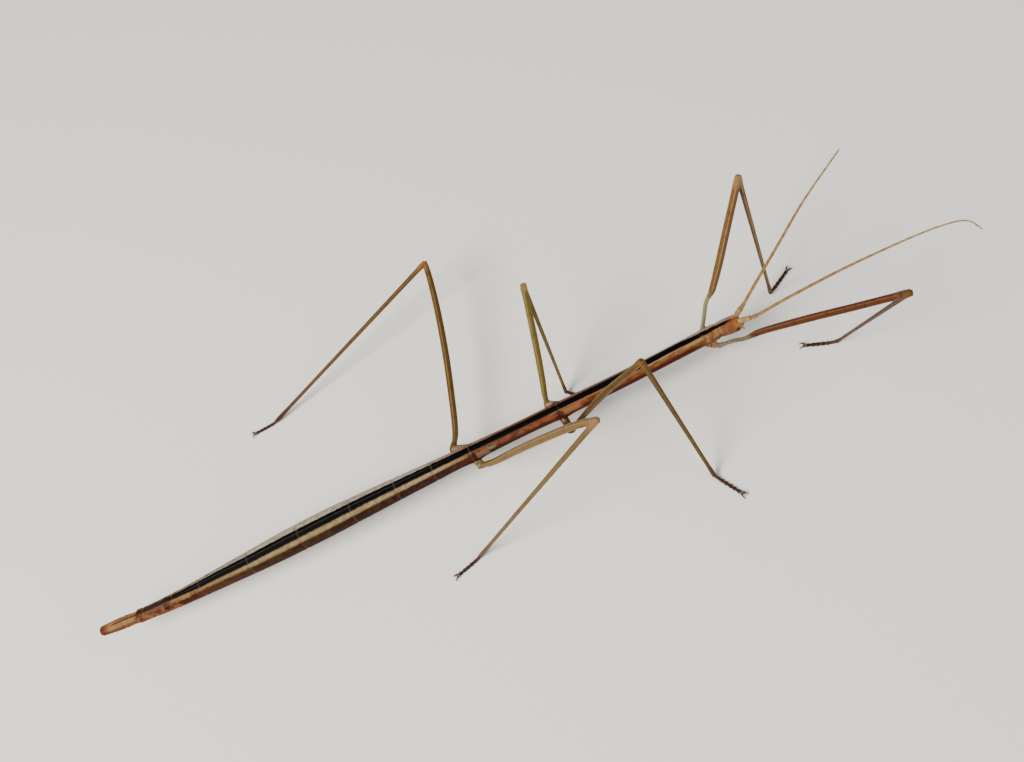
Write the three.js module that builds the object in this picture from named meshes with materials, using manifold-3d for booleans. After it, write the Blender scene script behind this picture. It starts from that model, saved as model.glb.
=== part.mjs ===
// A slender, wingless stick insect, life size, standing on its six feet with its feelers held out ahead.
// Millimetres, +Z up, +X towards the head and +Y to the insect's left.
// Places are first given on a stance grid: x runs forward from a point 50 mm ahead of the tail tip,
// y to the left of the body's midline, and z up from the ground. The finished insect is then centred.
import * as THREE from "three";
import { mergeVertices } from "three/addons/utils/BufferGeometryUtils.js";
import Module from "manifold-3d";

// ---- driving dimensions ----
const bodyHeight = 5.4;        // height of the body's axis above the ground
const seam = 0.1;              // gap between neighbouring plates and joints
const bodySides = 14;
const limbSides = 8;
const bodyDepth = 0.92;        // height of the body's section over its width

// The body's axis from the tail tip to the neck: the abdomen's end sags and the thorax bends a little left.
const axisPoints = [
  [-50, 0, bodyHeight],
  [-41, -0.25, bodyHeight - 0.6],
  [-32, -0.2, bodyHeight - 0.5],
  [-18, -0.05, bodyHeight - 0.1],
  [0, 0, bodyHeight],
  [20, 0.05, bodyHeight],
  [28, 0.28, bodyHeight],
  [34, 0.48, bodyHeight],
];

// Plates of the body from the tail tip forward: length, width at the rear edge and width in the middle.
const plates = [
  { name: "abdomen_10", length: 3.4, rear: 1.05, middle: 1.42, colour: 0xb98a55 },
  { name: "abdomen_9", length: 2.7, rear: 1.57, middle: 1.61, colour: 0xb98a55 },
  { name: "abdomen_8", length: 4.1, rear: 1.64, middle: 1.82, colour: 0x9a6233 },
  { name: "abdomen_7", length: 3.9, rear: 1.97, middle: 2.12, colour: 0x9a6233 },
  { name: "abdomen_6", length: 6.9, rear: 2.3, middle: 2.6, colour: 0xa8794a },
  { name: "abdomen_5", length: 7.1, rear: 2.88, middle: 3.14, colour: 0xa8794a },
  { name: "abdomen_4", length: 6.9, rear: 3.23, middle: 3.24, colour: 0xa8794a },
  { name: "abdomen_3", length: 5.8, rear: 3.06, middle: 2.9, colour: 0xa8794a },
  { name: "abdomen_2", length: 4.8, rear: 2.69, middle: 2.54, colour: 0xa8794a },
  { name: "median_segment", length: 4.8, rear: 2.4, middle: 2.24, colour: 0xa8794a },
  { name: "metathorax", length: 11.2, rear: 2.2, middle: 1.92, colour: 0xb5773c },
  { name: "mesothorax", length: 17.6, rear: 2.04, middle: 1.88, colour: 0xb5773c },
  { name: "pronotum", length: 2.1, rear: 1.92, middle: 1.98, colour: 0xb07447 },
];
const neckWidth = 1.8;         // front edge of the pronotum
const plateRim = 0.05;         // share by which a plate's edges draw in

// The skull's widths, and how the head is rolled and turned on the neck.
const head = {
  length: 2.75, neck: 0.76, cheek: 0.95, widest: 1.07, face: 1.01, brow: 0.84, depth: 0.86, roll: -20, yaw: -3,
};
const eye = { radius: 0.28, ahead: 2, out: 0.92, up: -0.08 };
const mouth = { ahead: 1.75, down: 0.45, length: 1.15, width: 1.0, height: 0.78 };
const palp = { from: [2.45, 0.3, -0.68], to: [2.95, 0.45, -0.95], radius: 0.16 };

// Feelers: where they leave the head, their lengths and half thicknesses, and their way to the tip.
const feelerRoot = { ahead: 2.3, out: 0.42, up: 0.5 };
const scape = { length: 1.5, radius: 0.3 };
const pedicel = { length: 0.75, radius: 0.27 };
const flagellum = { root: 0.26, tip: 0.25, steps: 16 };
const feelerPaths = {
  left: [[34.6, 1.0, 7.0], [36.5, 1.4, 10.0], [39.0, 1.7, 14.5], [41.9, 2.0, 20.0], [44.3, 1.5, 25.5],
    [44.7, 1.0, 27.5]],
  right: [[35.0, -0.4, 6.3], [39.2, -0.9, 8.0], [46.1, -1.8, 10.5], [54.2, -3.4, 13.0], [56.2, -4.1, 13.0],
    [57.3, -5.3, 12.0]],
};

// Legs: half thicknesses of each length, and the places that all six share.
const coxa = { radius: 0.53, inside: 0.4, below: 0.3, slope: 0.7 };
const tibia = { knee: 0.34, middle: 0.27, ankle: 0.28 };
const ankleHeight = 0.5;
const tarsus = { length: 3.3, pad: 0.29, waist: 0.25, sole: 0.22 };
const claw = { reach: 0.7, spread: 0.32, root: 0.13, tip: 0.05, arch: 0.42, ball: 0.2 };

// The half thickness of the round hip, then the femur's at its base, its middle and the knee.
const frontFemur = { hip: 0.37, base: 0.27, thick: 0.42, joint: 0.4 };
const middleFemur = { hip: 0.5, base: 0.34, thick: 0.42, joint: 0.42 };
const hindFemur = { hip: 0.54, base: 0.36, thick: 0.46, joint: 0.44 };

// Each leg: where its coxa leaves the body, its hip, its knee, its foot on the ground, its toes' heading,
// the share of the femur that the base takes, and how far its way leaves the straight line at some shares.
const legs = [
  {
    name: "front_left", femur: frontFemur, coxaAt: 30.5, baseShare: 0.25,
    hip: [29.95, 1.62, 4.8], knee: [36.7, 4.2, 25.7], foot: [39.4, 4.0], toes: 30,
    bends: [
      [0.2, [-0.37, -0.03, -0.04]],
      [0.28, [-0.11, -0.09, -0.11]],
      [0.45, [0.01, -0.1, -0.11]],
      [0.7, [0, -0.06, -0.06]],
    ],
  },
  {
    name: "front_right", femur: frontFemur, coxaAt: 29.3, baseShare: 0.19,
    hip: [30.75, -1.1, 4.75], knee: [44.2, -11.9, 22.5], foot: [42.8, -5.0], toes: 158,
    bends: [
      [0.1, [0.03, 0.07, 0.03]],
      [0.17, [0, 0, 0]],
      [0.25, [0.1, 0.19, 0.08]],
      [0.5, [0.11, 0.2, 0.09]],
      [0.78, [0.04, 0.08, 0.04]],
    ],
  },
  {
    name: "middle_left", femur: middleFemur, coxaAt: 12.2, baseShare: 0.08,
    hip: [10.5, 1.64, 4.7], knee: [14.4, 9.1, 18.0], foot: [12.8, 4.0], toes: -40,
    bends: [
      [0.1, [-0.12, -0.19, -0.11]],
      [0.25, [-0.03, -0.19, -0.11]],
      [0.6, [0.04, -0.13, -0.08]],
    ],
  },
  {
    name: "middle_right", femur: middleFemur, coxaAt: 11.5, baseShare: 0.08,
    hip: [11.8, -2.35, 4.2], knee: [21.7, -4.1, 16.7], foot: [23.8, -12.9], toes: -60,
    bends: [
      [0.2, [-0.07, 0.17, 0.1]],
      [0.38, [-0.1, 0.27, 0.15]],
      [0.58, [-0.11, 0.28, 0.16]],
      [0.8, [-0.05, 0.14, 0.08]],
    ],
  },
  {
    name: "hind_left", femur: hindFemur, coxaAt: 1.1, baseShare: 0.06,
    hip: [-1.7, 1.7, 4.7], knee: [3.9, 25.1, 7.7], foot: [-23.5, 18.6], toes: 183,
    bends: [
      [0.06, [0.48, -0.14, 0]],
      [0.13, [0.66, -0.21, -0.07]],
      [0.25, [0.75, -0.25, -0.12]],
      [0.5, [0.81, -0.29, -0.17]],
      [0.75, [0.61, -0.23, -0.15]],
      [0.93, [0.26, -0.1, -0.07]],
    ],
  },
  {
    name: "hind_right", femur: hindFemur, coxaAt: 0.3, baseShare: 0.06,
    hip: [0.75, -1.55, 4.5], knee: [15.5, -9.8, 22.0], foot: [-3.9, -9.9], toes: 196,
    bends: [
      [0.12, [-0.07, -0.14, -0.06]],
      [0.35, [0.03, 0.07, 0.03]],
      [0.6, [0.11, 0.21, 0.09]],
      [0.85, [0.11, 0.22, 0.1]],
    ],
  },
];

const operculum = { from: 1.8, to: 8.6, width: 1.36, depth: 1.2, below: 0.45 };
const cercus = { length: 0.75, radius: 0.17, out: 0.34, below: 0.3 };

const colours = {
  head: 0xb07a55, eye: 0x4a2418, mouth: 0xc9a77c, feeler: 0xc79a5b, scape: 0xd8c39a,
  coxa: 0xb98c60, femur: 0xa9642f, tibia: 0xb3793c, tarsus: 0x5a3a22, claw: 0x2e1d12, tail: 0xa97a4b,
};

const wasm = await Module();
wasm.setup();

const insect = new THREE.Group();
const upward = new THREE.Vector3(0, 0, 1);
const leftward = new THREE.Vector3(0, 1, 0);
const forward = new THREE.Vector3(1, 0, 0);

// ---- solids ----
function solidOf(geometry) {
  const bare = geometry.toNonIndexed();
  bare.deleteAttribute("normal");
  bare.deleteAttribute("uv");
  const merged = mergeVertices(bare, 1e-4);
  return new wasm.Manifold(new wasm.Mesh({
    numProp: 3,
    vertProperties: merged.attributes.position.array,
    triVerts: new Uint32Array(merged.index.array),
  }));
}

function geometryOf(solid) {
  const mesh = solid.getMesh();
  const geometry = new THREE.BufferGeometry();
  geometry.setAttribute("position", new THREE.BufferAttribute(mesh.vertProperties, 3));
  geometry.setIndex(new THREE.BufferAttribute(mesh.triVerts, 1));
  geometry.computeVertexNormals();
  return geometry;
}

function addPart(name, solid, colour, roughness = 0.6) {
  const material = new THREE.MeshStandardMaterial({ color: colour, roughness, metalness: 0 });
  const mesh = new THREE.Mesh(geometryOf(solid), material);
  mesh.name = name;
  insect.add(mesh);
}

// Keeps the side of a plane that its normal points to, half a seam clear of the plane.
function keepBeyond(solid, at, normal, gap = seam / 2) {
  const outward = normal.clone().normalize();
  return solid.trimByPlane(outward.toArray(), outward.dot(at) + gap);
}

// Two lengths that meet at a joint part along the plane halfway between them.
function foldPlane(incoming, outgoing) {
  return incoming.clone().normalize().add(outgoing.clone().normalize());
}

// A length of a longer curve, measured in millimetres along it.
class Stretch extends THREE.Curve {
  constructor(whole, from, to) {
    super();
    this.whole = whole;
    this.from = from;
    this.to = to;
    this.wholeLength = whole.getLength();
  }

  getPoint(share) {
    const along = THREE.MathUtils.lerp(this.from, this.to, share);
    return this.whole.getPointAt(THREE.MathUtils.clamp(along / this.wholeLength, 0, 1));
  }
}

// A turned form laid along a curve: stations give [share of the length, radius], and the ends are domed.
// Its section measures width along side and depth across it, both as shares of the radius.
function turned({ path, stations, sides = limbSides, side = upward, width = 1, depth = 1, domes = [1, 1] }) {
  const length = path.getLength();
  const firstRadius = stations[0][1];
  const lastRadius = stations[stations.length - 1][1];
  const halfway = Math.SQRT1_2;
  const profile = [new THREE.Vector2(0, -firstRadius * domes[0])];
  if (domes[0] > 0) {
    profile.push(new THREE.Vector2(firstRadius * halfway, -firstRadius * domes[0] * halfway));
  }
  for (const [share, radius] of stations) {
    profile.push(new THREE.Vector2(radius, share * length));
  }
  if (domes[1] > 0) {
    profile.push(new THREE.Vector2(lastRadius * halfway, length + lastRadius * domes[1] * halfway));
  }
  profile.push(new THREE.Vector2(0, length + lastRadius * domes[1]));
  const geometry = new THREE.LatheGeometry(profile, sides);
  const position = geometry.getAttribute("position");
  for (let i = 0; i < position.count; i += 1) {
    const along = position.getY(i);
    const share = THREE.MathUtils.clamp(along / length, 0, 1);
    const tangent = path.getTangentAt(share);
    const across = new THREE.Vector3().crossVectors(tangent, side).normalize();
    const lifted = new THREE.Vector3().crossVectors(across, tangent).normalize();
    const place = path.getPointAt(share)
      .addScaledVector(tangent, along - share * length)
      .addScaledVector(across, position.getX(i) * depth)
      .addScaledVector(lifted, position.getZ(i) * width);
    position.setXYZ(i, place.x, place.y, place.z);
  }
  return solidOf(geometry);
}

function ball(centre, radius) {
  const sphere = new THREE.SphereGeometry(radius, 10, 7);
  sphere.translate(centre.x, centre.y, centre.z);
  return solidOf(sphere);
}

// ---- body ----
const bodyAxis = new THREE.CatmullRomCurve3(axisPoints.map((place) => new THREE.Vector3(...place)));

// A parabola through the widths at the rear edge, the middle and the front edge.
function plateWidth(plate, frontWidth, share) {
  const bend = 2 * (plate.rear + frontWidth) - 4 * plate.middle;
  return plate.rear + (frontWidth - plate.rear - bend) * share + bend * share * share;
}

function plateSolid(plate, frontWidth, start, grow = 0) {
  const isTail = start === 0;
  const from = isTail ? plate.rear / 4 : start + seam / 2 - grow;
  const to = start + plate.length - seam / 2 + grow;
  const rim = 0.2 / plate.length;
  const steps = plate.length > 6 ? 3 : 2;
  const stations = [[0, (1 - plateRim) * plateWidth(plate, frontWidth, 0) / 2 + grow]];
  for (let i = 0; i <= steps; i += 1) {
    const share = rim + (1 - 2 * rim) * (i / steps);
    stations.push([share, plateWidth(plate, frontWidth, share) / 2 + grow]);
  }
  stations.push([1, (1 - plateRim) * plateWidth(plate, frontWidth, 1) / 2 + grow]);
  return turned({
    path: new Stretch(bodyAxis, from, to),
    stations,
    sides: bodySides,
    side: leftward,
    depth: bodyDepth,
    domes: [isTail ? 0.5 : 0, 0],
  });
}

function buildTrunk() {
  const places = new Map();
  let start = 0;
  plates.forEach((plate, i) => {
    const frontWidth = i + 1 < plates.length ? plates[i + 1].rear : neckWidth;
    addPart(plate.name, plateSolid(plate, frontWidth, start), plate.colour);
    places.set(plate.name, { plate, frontWidth, start });
    start += plate.length;
  });
  return places;
}

const trunkPlaces = buildTrunk();
const bodyLength = plates.reduce((sum, plate) => sum + plate.length, 0);
const neck = bodyAxis.getPointAt(bodyLength / bodyAxis.getLength());

// The space that some plates take, grown by a seam, so that a piece that lies on them can be cut clear.
function roomOfPlates(names) {
  return names
    .map((name) => trunkPlaces.get(name))
    .map(({ plate, frontWidth, start }) => plateSolid(plate, frontWidth, start, seam))
    .reduce((whole, piece) => whole.add(piece));
}

// Half the body's width where a leg joins it.
function halfWidthAt(x) {
  const along = x - axisPoints[0][0];
  for (const { plate, frontWidth, start } of trunkPlaces.values()) {
    if (along >= start && along <= start + plate.length) {
      return plateWidth(plate, frontWidth, (along - start) / plate.length) / 2;
    }
  }
  return neckWidth / 2;
}

function buildTailEnd() {
  const room = roomOfPlates(["abdomen_10", "abdomen_9", "abdomen_8", "abdomen_7"]);
  const keel = new Stretch(bodyAxis, operculum.from, operculum.to);
  const lowered = new THREE.LineCurve3(
    keel.getPointAt(0).addScaledVector(upward, -operculum.below),
    keel.getPointAt(1).addScaledVector(upward, -operculum.below),
  );
  const scoop = turned({
    path: lowered,
    stations: [[0, 0.28], [0.25, 0.5], [0.6, operculum.width / 2], [1, 0.55]],
    sides: 12,
    side: leftward,
    depth: operculum.depth / operculum.width,
    domes: [0.6, 0.4],
  });
  addPart("operculum", scoop.subtract(room), colours.tail);
  for (const [name, side] of [["cercus_left", 1], ["cercus_right", -1]]) {
    const root = new THREE.Vector3(axisPoints[0][0] + 0.7, side * cercus.out, bodyHeight - cercus.below);
    const tip = root.clone().addScaledVector(forward, -cercus.length);
    const finger = turned({
      path: new THREE.LineCurve3(root, tip),
      stations: [[0, cercus.radius], [0.5, cercus.radius], [1, cercus.radius * 0.5]],
    });
    addPart(name, finger.subtract(room), colours.tail);
  }
}

// ---- head ----
const headPlace = new THREE.Matrix4().makeRotationFromEuler(new THREE.Euler(
  THREE.MathUtils.degToRad(head.roll),
  0,
  THREE.MathUtils.degToRad(head.yaw),
  "ZYX",
));
headPlace.setPosition(neck);

// A place in the head, measured ahead of the neck, out to the left and up.
function headPoint(ahead, out, up) {
  return new THREE.Vector3(ahead, out, up).applyMatrix4(headPlace);
}

function headWay(ahead, out, up) {
  return new THREE.Vector3(ahead, out, up).transformDirection(headPlace);
}

function skullSolid(grow = 0) {
  return turned({
    path: new THREE.LineCurve3(headPoint(0.2, 0, 0), headPoint(head.length - 0.35, 0, -0.06)),
    stations: [[0, head.neck + grow], [0.2, head.cheek + grow], [0.55, head.widest + grow],
      [0.85, head.face + grow], [1, head.brow + grow]],
    sides: bodySides,
    side: headWay(0, 1, 0),
    depth: head.depth,
    domes: [0.3, 0.45],
  });
}

function eyeBall(side, grow = 0) {
  return ball(headPoint(eye.ahead, side * eye.out, eye.up), eye.radius + grow);
}

// The skull has a socket for each eye, and the jaws and palps close it below.
function buildHead() {
  const skullRoom = skullSolid(seam);
  let skull = keepBeyond(skullSolid(), neck, forward);
  for (const [name, side] of [["left", 1], ["right", -1]]) {
    skull = skull.subtract(eyeBall(side, seam / 2));
    addPart(`eye_${name}`, eyeBall(side), colours.eye, 0.25);
  }
  addPart("head", skull, colours.head);
  const jaws = turned({
    path: new THREE.LineCurve3(
      headPoint(mouth.ahead, 0, -mouth.down),
      headPoint(mouth.ahead + mouth.length, 0, -mouth.down - 0.1),
    ),
    stations: [[0, mouth.width * 0.42], [0.5, mouth.width / 2], [1, mouth.width * 0.3]],
    sides: 12,
    side: headWay(0, 1, 0),
    depth: mouth.height / mouth.width,
    domes: [0.6, 0.5],
  });
  const palps = [1, -1].map((side) => turned({
    path: new THREE.LineCurve3(
      headPoint(palp.from[0], side * palp.from[1], palp.from[2]),
      headPoint(palp.to[0], side * palp.to[1], palp.to[2]),
    ),
    stations: [[0, palp.radius], [0.6, palp.radius], [1, palp.radius * 0.85]],
  }));
  addPart("mouthparts", jaws.add(palps[0]).add(palps[1]).subtract(skullRoom), colours.mouth);
}

// ---- feelers ----
function buildFeeler(name, side) {
  const root = headPoint(feelerRoot.ahead, side * feelerRoot.out, feelerRoot.up);
  const places = [root, ...feelerPaths[name].map((place) => new THREE.Vector3(...place))];
  const way = new THREE.CatmullRomCurve3(places, false, "centripetal");
  const scapeEnd = scape.length;
  const pedicelEnd = scapeEnd + pedicel.length;
  const skullRoom = skullSolid(seam);
  const pieces = [
    {
      part: "scape", from: 0, to: scapeEnd, colour: colours.scape,
      stations: [[0, 0.25], [0.35, scape.radius], [0.85, scape.radius], [1, 0.27]],
    },
    {
      part: "pedicel", from: scapeEnd + seam, to: pedicelEnd, colour: colours.feeler,
      stations: [[0, 0.25], [0.3, pedicel.radius], [0.8, pedicel.radius], [1, 0.25]],
    },
    {
      part: "flagellum", from: pedicelEnd + seam, to: way.getLength() - flagellum.tip, colour: colours.feeler,
      stations: Array.from({ length: flagellum.steps + 1 }, (_, i) => {
        const share = i / flagellum.steps;
        return [share, THREE.MathUtils.lerp(flagellum.root, flagellum.tip, share)];
      }),
    },
  ];
  for (const { part, from, to, colour, stations } of pieces) {
    let solid = turned({
      path: new Stretch(way, from, to),
      stations,
      side: leftward,
      domes: [0, part === "flagellum" ? 1 : 0],
    });
    if (part === "scape") {
      solid = solid.subtract(skullRoom);
    }
    addPart(`${part}_${name}`, solid, colour);
  }
}

// ---- legs ----
// How far the body's axis lies to the left at a place along the body.
function sideShiftAt(x) {
  return bodyAxis.getPointAt((x - axisPoints[0][0]) / bodyAxis.getLength()).y;
}

// The plane that touches the body's side along the coxa.
function flankPlane(leg, side) {
  const halfWidth = Math.max(halfWidthAt(leg.coxaAt), halfWidthAt(leg.hip[0]));
  const at = new THREE.Vector3(
    leg.coxaAt,
    sideShiftAt(leg.coxaAt) + side * halfWidth * Math.cos(coxa.slope),
    bodyHeight - halfWidth * bodyDepth * Math.sin(coxa.slope),
  );
  return { at, normal: new THREE.Vector3(0, side * Math.cos(coxa.slope), -Math.sin(coxa.slope) / bodyDepth) };
}

function buildLeg(leg) {
  const { base, thick, joint } = leg.femur;
  const hip = new THREE.Vector3(...leg.hip);
  const side = Math.sign(hip.y);
  const middle = sideShiftAt(leg.coxaAt);
  const inner = new THREE.Vector3(leg.coxaAt, middle + side * coxa.inside, bodyHeight - coxa.below);
  const knee = new THREE.Vector3(...leg.knee);
  const ankle = new THREE.Vector3(leg.foot[0], leg.foot[1], ankleHeight);
  const heading = THREE.MathUtils.degToRad(leg.toes);
  const ahead = new THREE.Vector3(Math.cos(heading), Math.sin(heading), 0);
  const tibiaWay = ankle.clone().sub(knee);

  const turns = leg.bends.map(([share, shift]) => (
    hip.clone().lerp(knee, share).add(new THREE.Vector3(...shift))
  ));
  const femurPath = turns.length > 0
    ? new THREE.CatmullRomCurve3([hip, ...turns, knee])
    : new THREE.LineCurve3(hip, knee);
  const hipFold = foldPlane(hip.clone().sub(inner), femurPath.getTangentAt(0));
  const kneeFold = foldPlane(femurPath.getTangentAt(1), tibiaWay);

  // The sole is a flat at the ground, the same for all six feet.
  const landing = ankle.clone().addScaledVector(ahead, 0.8).setZ(tarsus.sole);
  const toeEnd = ankle.clone().addScaledVector(ahead, tarsus.length).setZ(tarsus.sole);
  const tarsusPath = new THREE.CatmullRomCurve3([ankle, landing, toeEnd], false, "centripetal");
  const ankleFold = foldPlane(tibiaWay, landing.clone().sub(ankle));

  const flank = flankPlane(leg, side);
  let hipBlock = turned({
    path: new THREE.LineCurve3(inner, hip),
    stations: [[0, coxa.radius * 0.9], [0.5, coxa.radius], [1, leg.femur.hip]],
  });
  hipBlock = keepBeyond(hipBlock, flank.at, flank.normal, seam);
  hipBlock = keepBeyond(hipBlock, hip, hipFold.clone().negate());
  addPart(`${leg.name}_coxa`, hipBlock, colours.coxa);

  const stations = [[0, base + 0.06], [0.03, base + 0.04], [0.05, base]];
  if (leg.baseShare > 0.1) {
    stations.push([leg.baseShare * 0.8, base]);
  }
  stations.push([leg.baseShare + 0.05, thick * 0.95], [0.5, thick], [0.94, thick * 0.92], [1, joint]);
  let femur = turned({ path: femurPath, stations, side: forward });
  femur = keepBeyond(femur, hip, hipFold);
  femur = keepBeyond(femur, knee, kneeFold.clone().negate());
  addPart(`${leg.name}_femur`, femur, colours.femur);

  let shin = turned({
    path: new THREE.LineCurve3(knee, ankle),
    stations: [[0, tibia.knee], [0.06, tibia.knee * 0.9], [0.3, tibia.middle], [0.94, tibia.middle],
      [1, tibia.ankle]],
    side: forward,
  });
  shin = keepBeyond(shin, knee, kneeFold);
  shin = keepBeyond(shin, ankle, ankleFold.clone().negate());
  addPart(`${leg.name}_tibia`, shin, colours.tibia);

  let foot = turned({
    path: tarsusPath,
    stations: [[0, tarsus.pad], [0.3, tarsus.waist], [0.42, tarsus.pad], [0.6, tarsus.waist],
      [0.7, tarsus.pad], [0.85, tarsus.waist], [1, tarsus.pad]],
    domes: [1, 0],
  });
  foot = keepBeyond(foot, ankle, ankleFold);
  foot = keepBeyond(foot, new THREE.Vector3(), upward, 0);
  addPart(`${leg.name}_tarsus`, foot, colours.tarsus);
  addPart(`${leg.name}_claws`, clawSolid(toeEnd, ahead), colours.claw, 0.35);
}

// A pair of hooked claws on a small pad, just clear of the tarsus.
function clawSolid(toeEnd, ahead) {
  const across = new THREE.Vector3().crossVectors(upward, ahead);
  const root = toeEnd.clone().addScaledVector(ahead, seam / 2 + claw.ball * 0.6);
  let pair = ball(root.clone().setZ(tarsus.sole + 0.02), claw.ball);
  for (const side of [1, -1]) {
    const arch = root.clone().addScaledVector(ahead, claw.reach * 0.6)
      .addScaledVector(across, side * claw.spread)
      .setZ(claw.arch);
    const tip = root.clone().addScaledVector(ahead, claw.reach)
      .addScaledVector(across, side * claw.spread)
      .setZ(claw.tip + 0.03);
    const hook = turned({
      path: new THREE.QuadraticBezierCurve3(root.clone().setZ(tarsus.sole), arch, tip),
      stations: [[0, claw.root], [0.5, claw.root * 0.8], [1, claw.tip]],
      sides: 6,
      side: across,
    });
    pair = pair.add(hook);
  }
  return keepBeyond(pair, toeEnd, ahead, seam);
}

buildHead();
buildTailEnd();
buildFeeler("left", 1);
buildFeeler("right", -1);
legs.forEach(buildLeg);

// ---- finish: stand the insect on z = 0 with its middle over the origin ----
const reach = new THREE.Box3().setFromObject(insect);
insect.position.set(-(reach.min.x + reach.max.x) / 2, -(reach.min.y + reach.max.y) / 2, -reach.min.z);

const stickInsect = new THREE.Group();
stickInsect.add(insect);

export default stickInsect;
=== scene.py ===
import math
import bpy
import numpy as np
from mathutils import Matrix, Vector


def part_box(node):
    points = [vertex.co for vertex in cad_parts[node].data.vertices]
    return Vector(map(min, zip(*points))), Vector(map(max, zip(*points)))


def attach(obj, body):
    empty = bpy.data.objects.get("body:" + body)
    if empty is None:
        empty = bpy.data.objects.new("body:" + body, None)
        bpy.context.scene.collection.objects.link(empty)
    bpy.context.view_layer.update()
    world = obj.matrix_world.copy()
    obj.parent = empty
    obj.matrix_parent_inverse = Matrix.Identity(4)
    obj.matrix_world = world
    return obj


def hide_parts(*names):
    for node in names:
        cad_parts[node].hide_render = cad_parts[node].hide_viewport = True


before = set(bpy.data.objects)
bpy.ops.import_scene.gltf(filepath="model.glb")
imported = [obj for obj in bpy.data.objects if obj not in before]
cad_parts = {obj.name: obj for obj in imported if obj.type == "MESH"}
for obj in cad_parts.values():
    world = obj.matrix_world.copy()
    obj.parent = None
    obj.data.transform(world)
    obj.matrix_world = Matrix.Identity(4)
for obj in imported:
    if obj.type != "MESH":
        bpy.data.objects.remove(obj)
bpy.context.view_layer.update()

# Sizes are millimetres on the stance grid: x runs forward from a point 50 mm ahead of the tail tip,
# y to the insect's left and z up from the floor. toFrame() brings points to the frame, in metres.
bodyPlan = {
    "height": 5.4,
    "depth": 0.92,
    "axis": [(-50, 0, 5.4), (-41, -0.25, 4.8), (-32, -0.2, 4.9), (-18, -0.05, 5.3), (0, 0, 5.4),
             (20, 0.05, 5.4), (28, 0.28, 5.4), (34, 0.48, 5.4)],
    "plates": [  # length, width at the rear edge, width in the middle
        (3.4, 1.16, 1.42), (2.7, 1.57, 1.61), (4.1, 1.64, 1.82), (3.9, 1.97, 2.12), (6.9, 2.3, 2.6),
        (7.1, 2.88, 3.14), (6.9, 3.23, 3.24), (5.8, 3.06, 2.9), (4.8, 2.69, 2.54), (4.8, 2.4, 2.24),
        (11.2, 2.2, 1.92), (17.6, 2.04, 1.88), (2.1, 1.92, 1.98)],
    "seam": 0.1,
    "neckWidth": 1.8,
    "tipLength": 0.55,
    "tailStep": {"at": 5.2, "dip": 0.14, "dipSpread": 1.3, "swell": 0.08, "swellSpread": 0.9},
    "twist": [(0, 2), (15, 4), (22, -2), (31, -3), (37, 1), (49, 6), (55, 5), (67, 5), (74, 14), (81, 20),
              (84.1, 20)],
    "jointDip": 0.06,
    "chestJoint": 0.6,  # share of the dip at the joints of the chest
    "jointLip": 0.02,
    # ridges and furrows that run along the plates: degrees from the top, spread and height
    "tailRidges": [(104, 6, -0.045), (92, 7, 0.02), (44, 5, 0.016), (0, 3.5, 0.012)],
    "chestRidges": [(0, 4, 0.028), (50, 6, 0.014), (112, 8, -0.03)],
    "bellyFurrow": 0.05,
    "pronotum": {"middle": 1.0, "cornerAhead": 0.8, "cornerAngle": 46, "crossDepth": 0.04,
                 "acrossDepth": 0.045, "rimFore": 0.82, "rimRear": -0.8, "rimHeight": 0.03},
    "lastPlate": {"groove": 0.07, "ridges": 0.03, "tipRim": 0.03},
    "shoulders": [(50.6, 0.12), (61.8, 0.12), (80.2, 0.05)],  # where the legs come out, and their swell
    "shoulderSide": 118,  # degrees from the top
    "around": 64,
    "ringStep": 0.17,
    "jointStep": 0.045,
    "headStep": 0.05,
}
headLength = 2.76
plateEdges = np.cumsum([plate[0] for plate in bodyPlan["plates"]])
ringsEnd, chestStart, chestEnd = plateEdges[8], plateEdges[9], plateEdges[11]
bodyLength = sum(plate[0] for plate in bodyPlan["plates"])
wholeLength = bodyLength + headLength
noJoint = 9.0  # the joint distance of points that are far from one


def unit(vectors):
    return vectors / np.maximum(np.linalg.norm(vectors, axis=-1, keepdims=True), 1e-12)


def hump(x, middle, spread):
    return np.exp(-((x - middle) / spread) ** 2)


# the cubic from start to end that leaves and arrives with the given slopes, t from 0 to 1
def cubic(t, start, end, leave, arrive):
    return ((2 * t**3 - 3 * t**2 + 1) * start + (t**3 - 2 * t**2 + t) * leave
            + (3 * t**2 - 2 * t**3) * end + (t**3 - t**2) * arrive)


# a smooth curve through (place, value) pairs that never overshoots them
def smoothThrough(pairs, x):
    px, py = np.array(pairs, float).T
    slopes = np.diff(py) / np.diff(px)
    bends = np.zeros(len(px))
    bends[0], bends[-1] = slopes[0], slopes[-1]
    for i in range(1, len(px) - 1):
        if slopes[i - 1] * slopes[i] > 0:
            bends[i] = 2 * slopes[i - 1] * slopes[i] / (slopes[i - 1] + slopes[i])
    x = np.clip(x, px[0], px[-1])
    i = np.clip(np.searchsorted(px, x) - 1, 0, len(px) - 2)
    h = px[i + 1] - px[i]
    return cubic((x - px[i]) / h, py[i], py[i + 1], h * bends[i], h * bends[i + 1])


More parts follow.
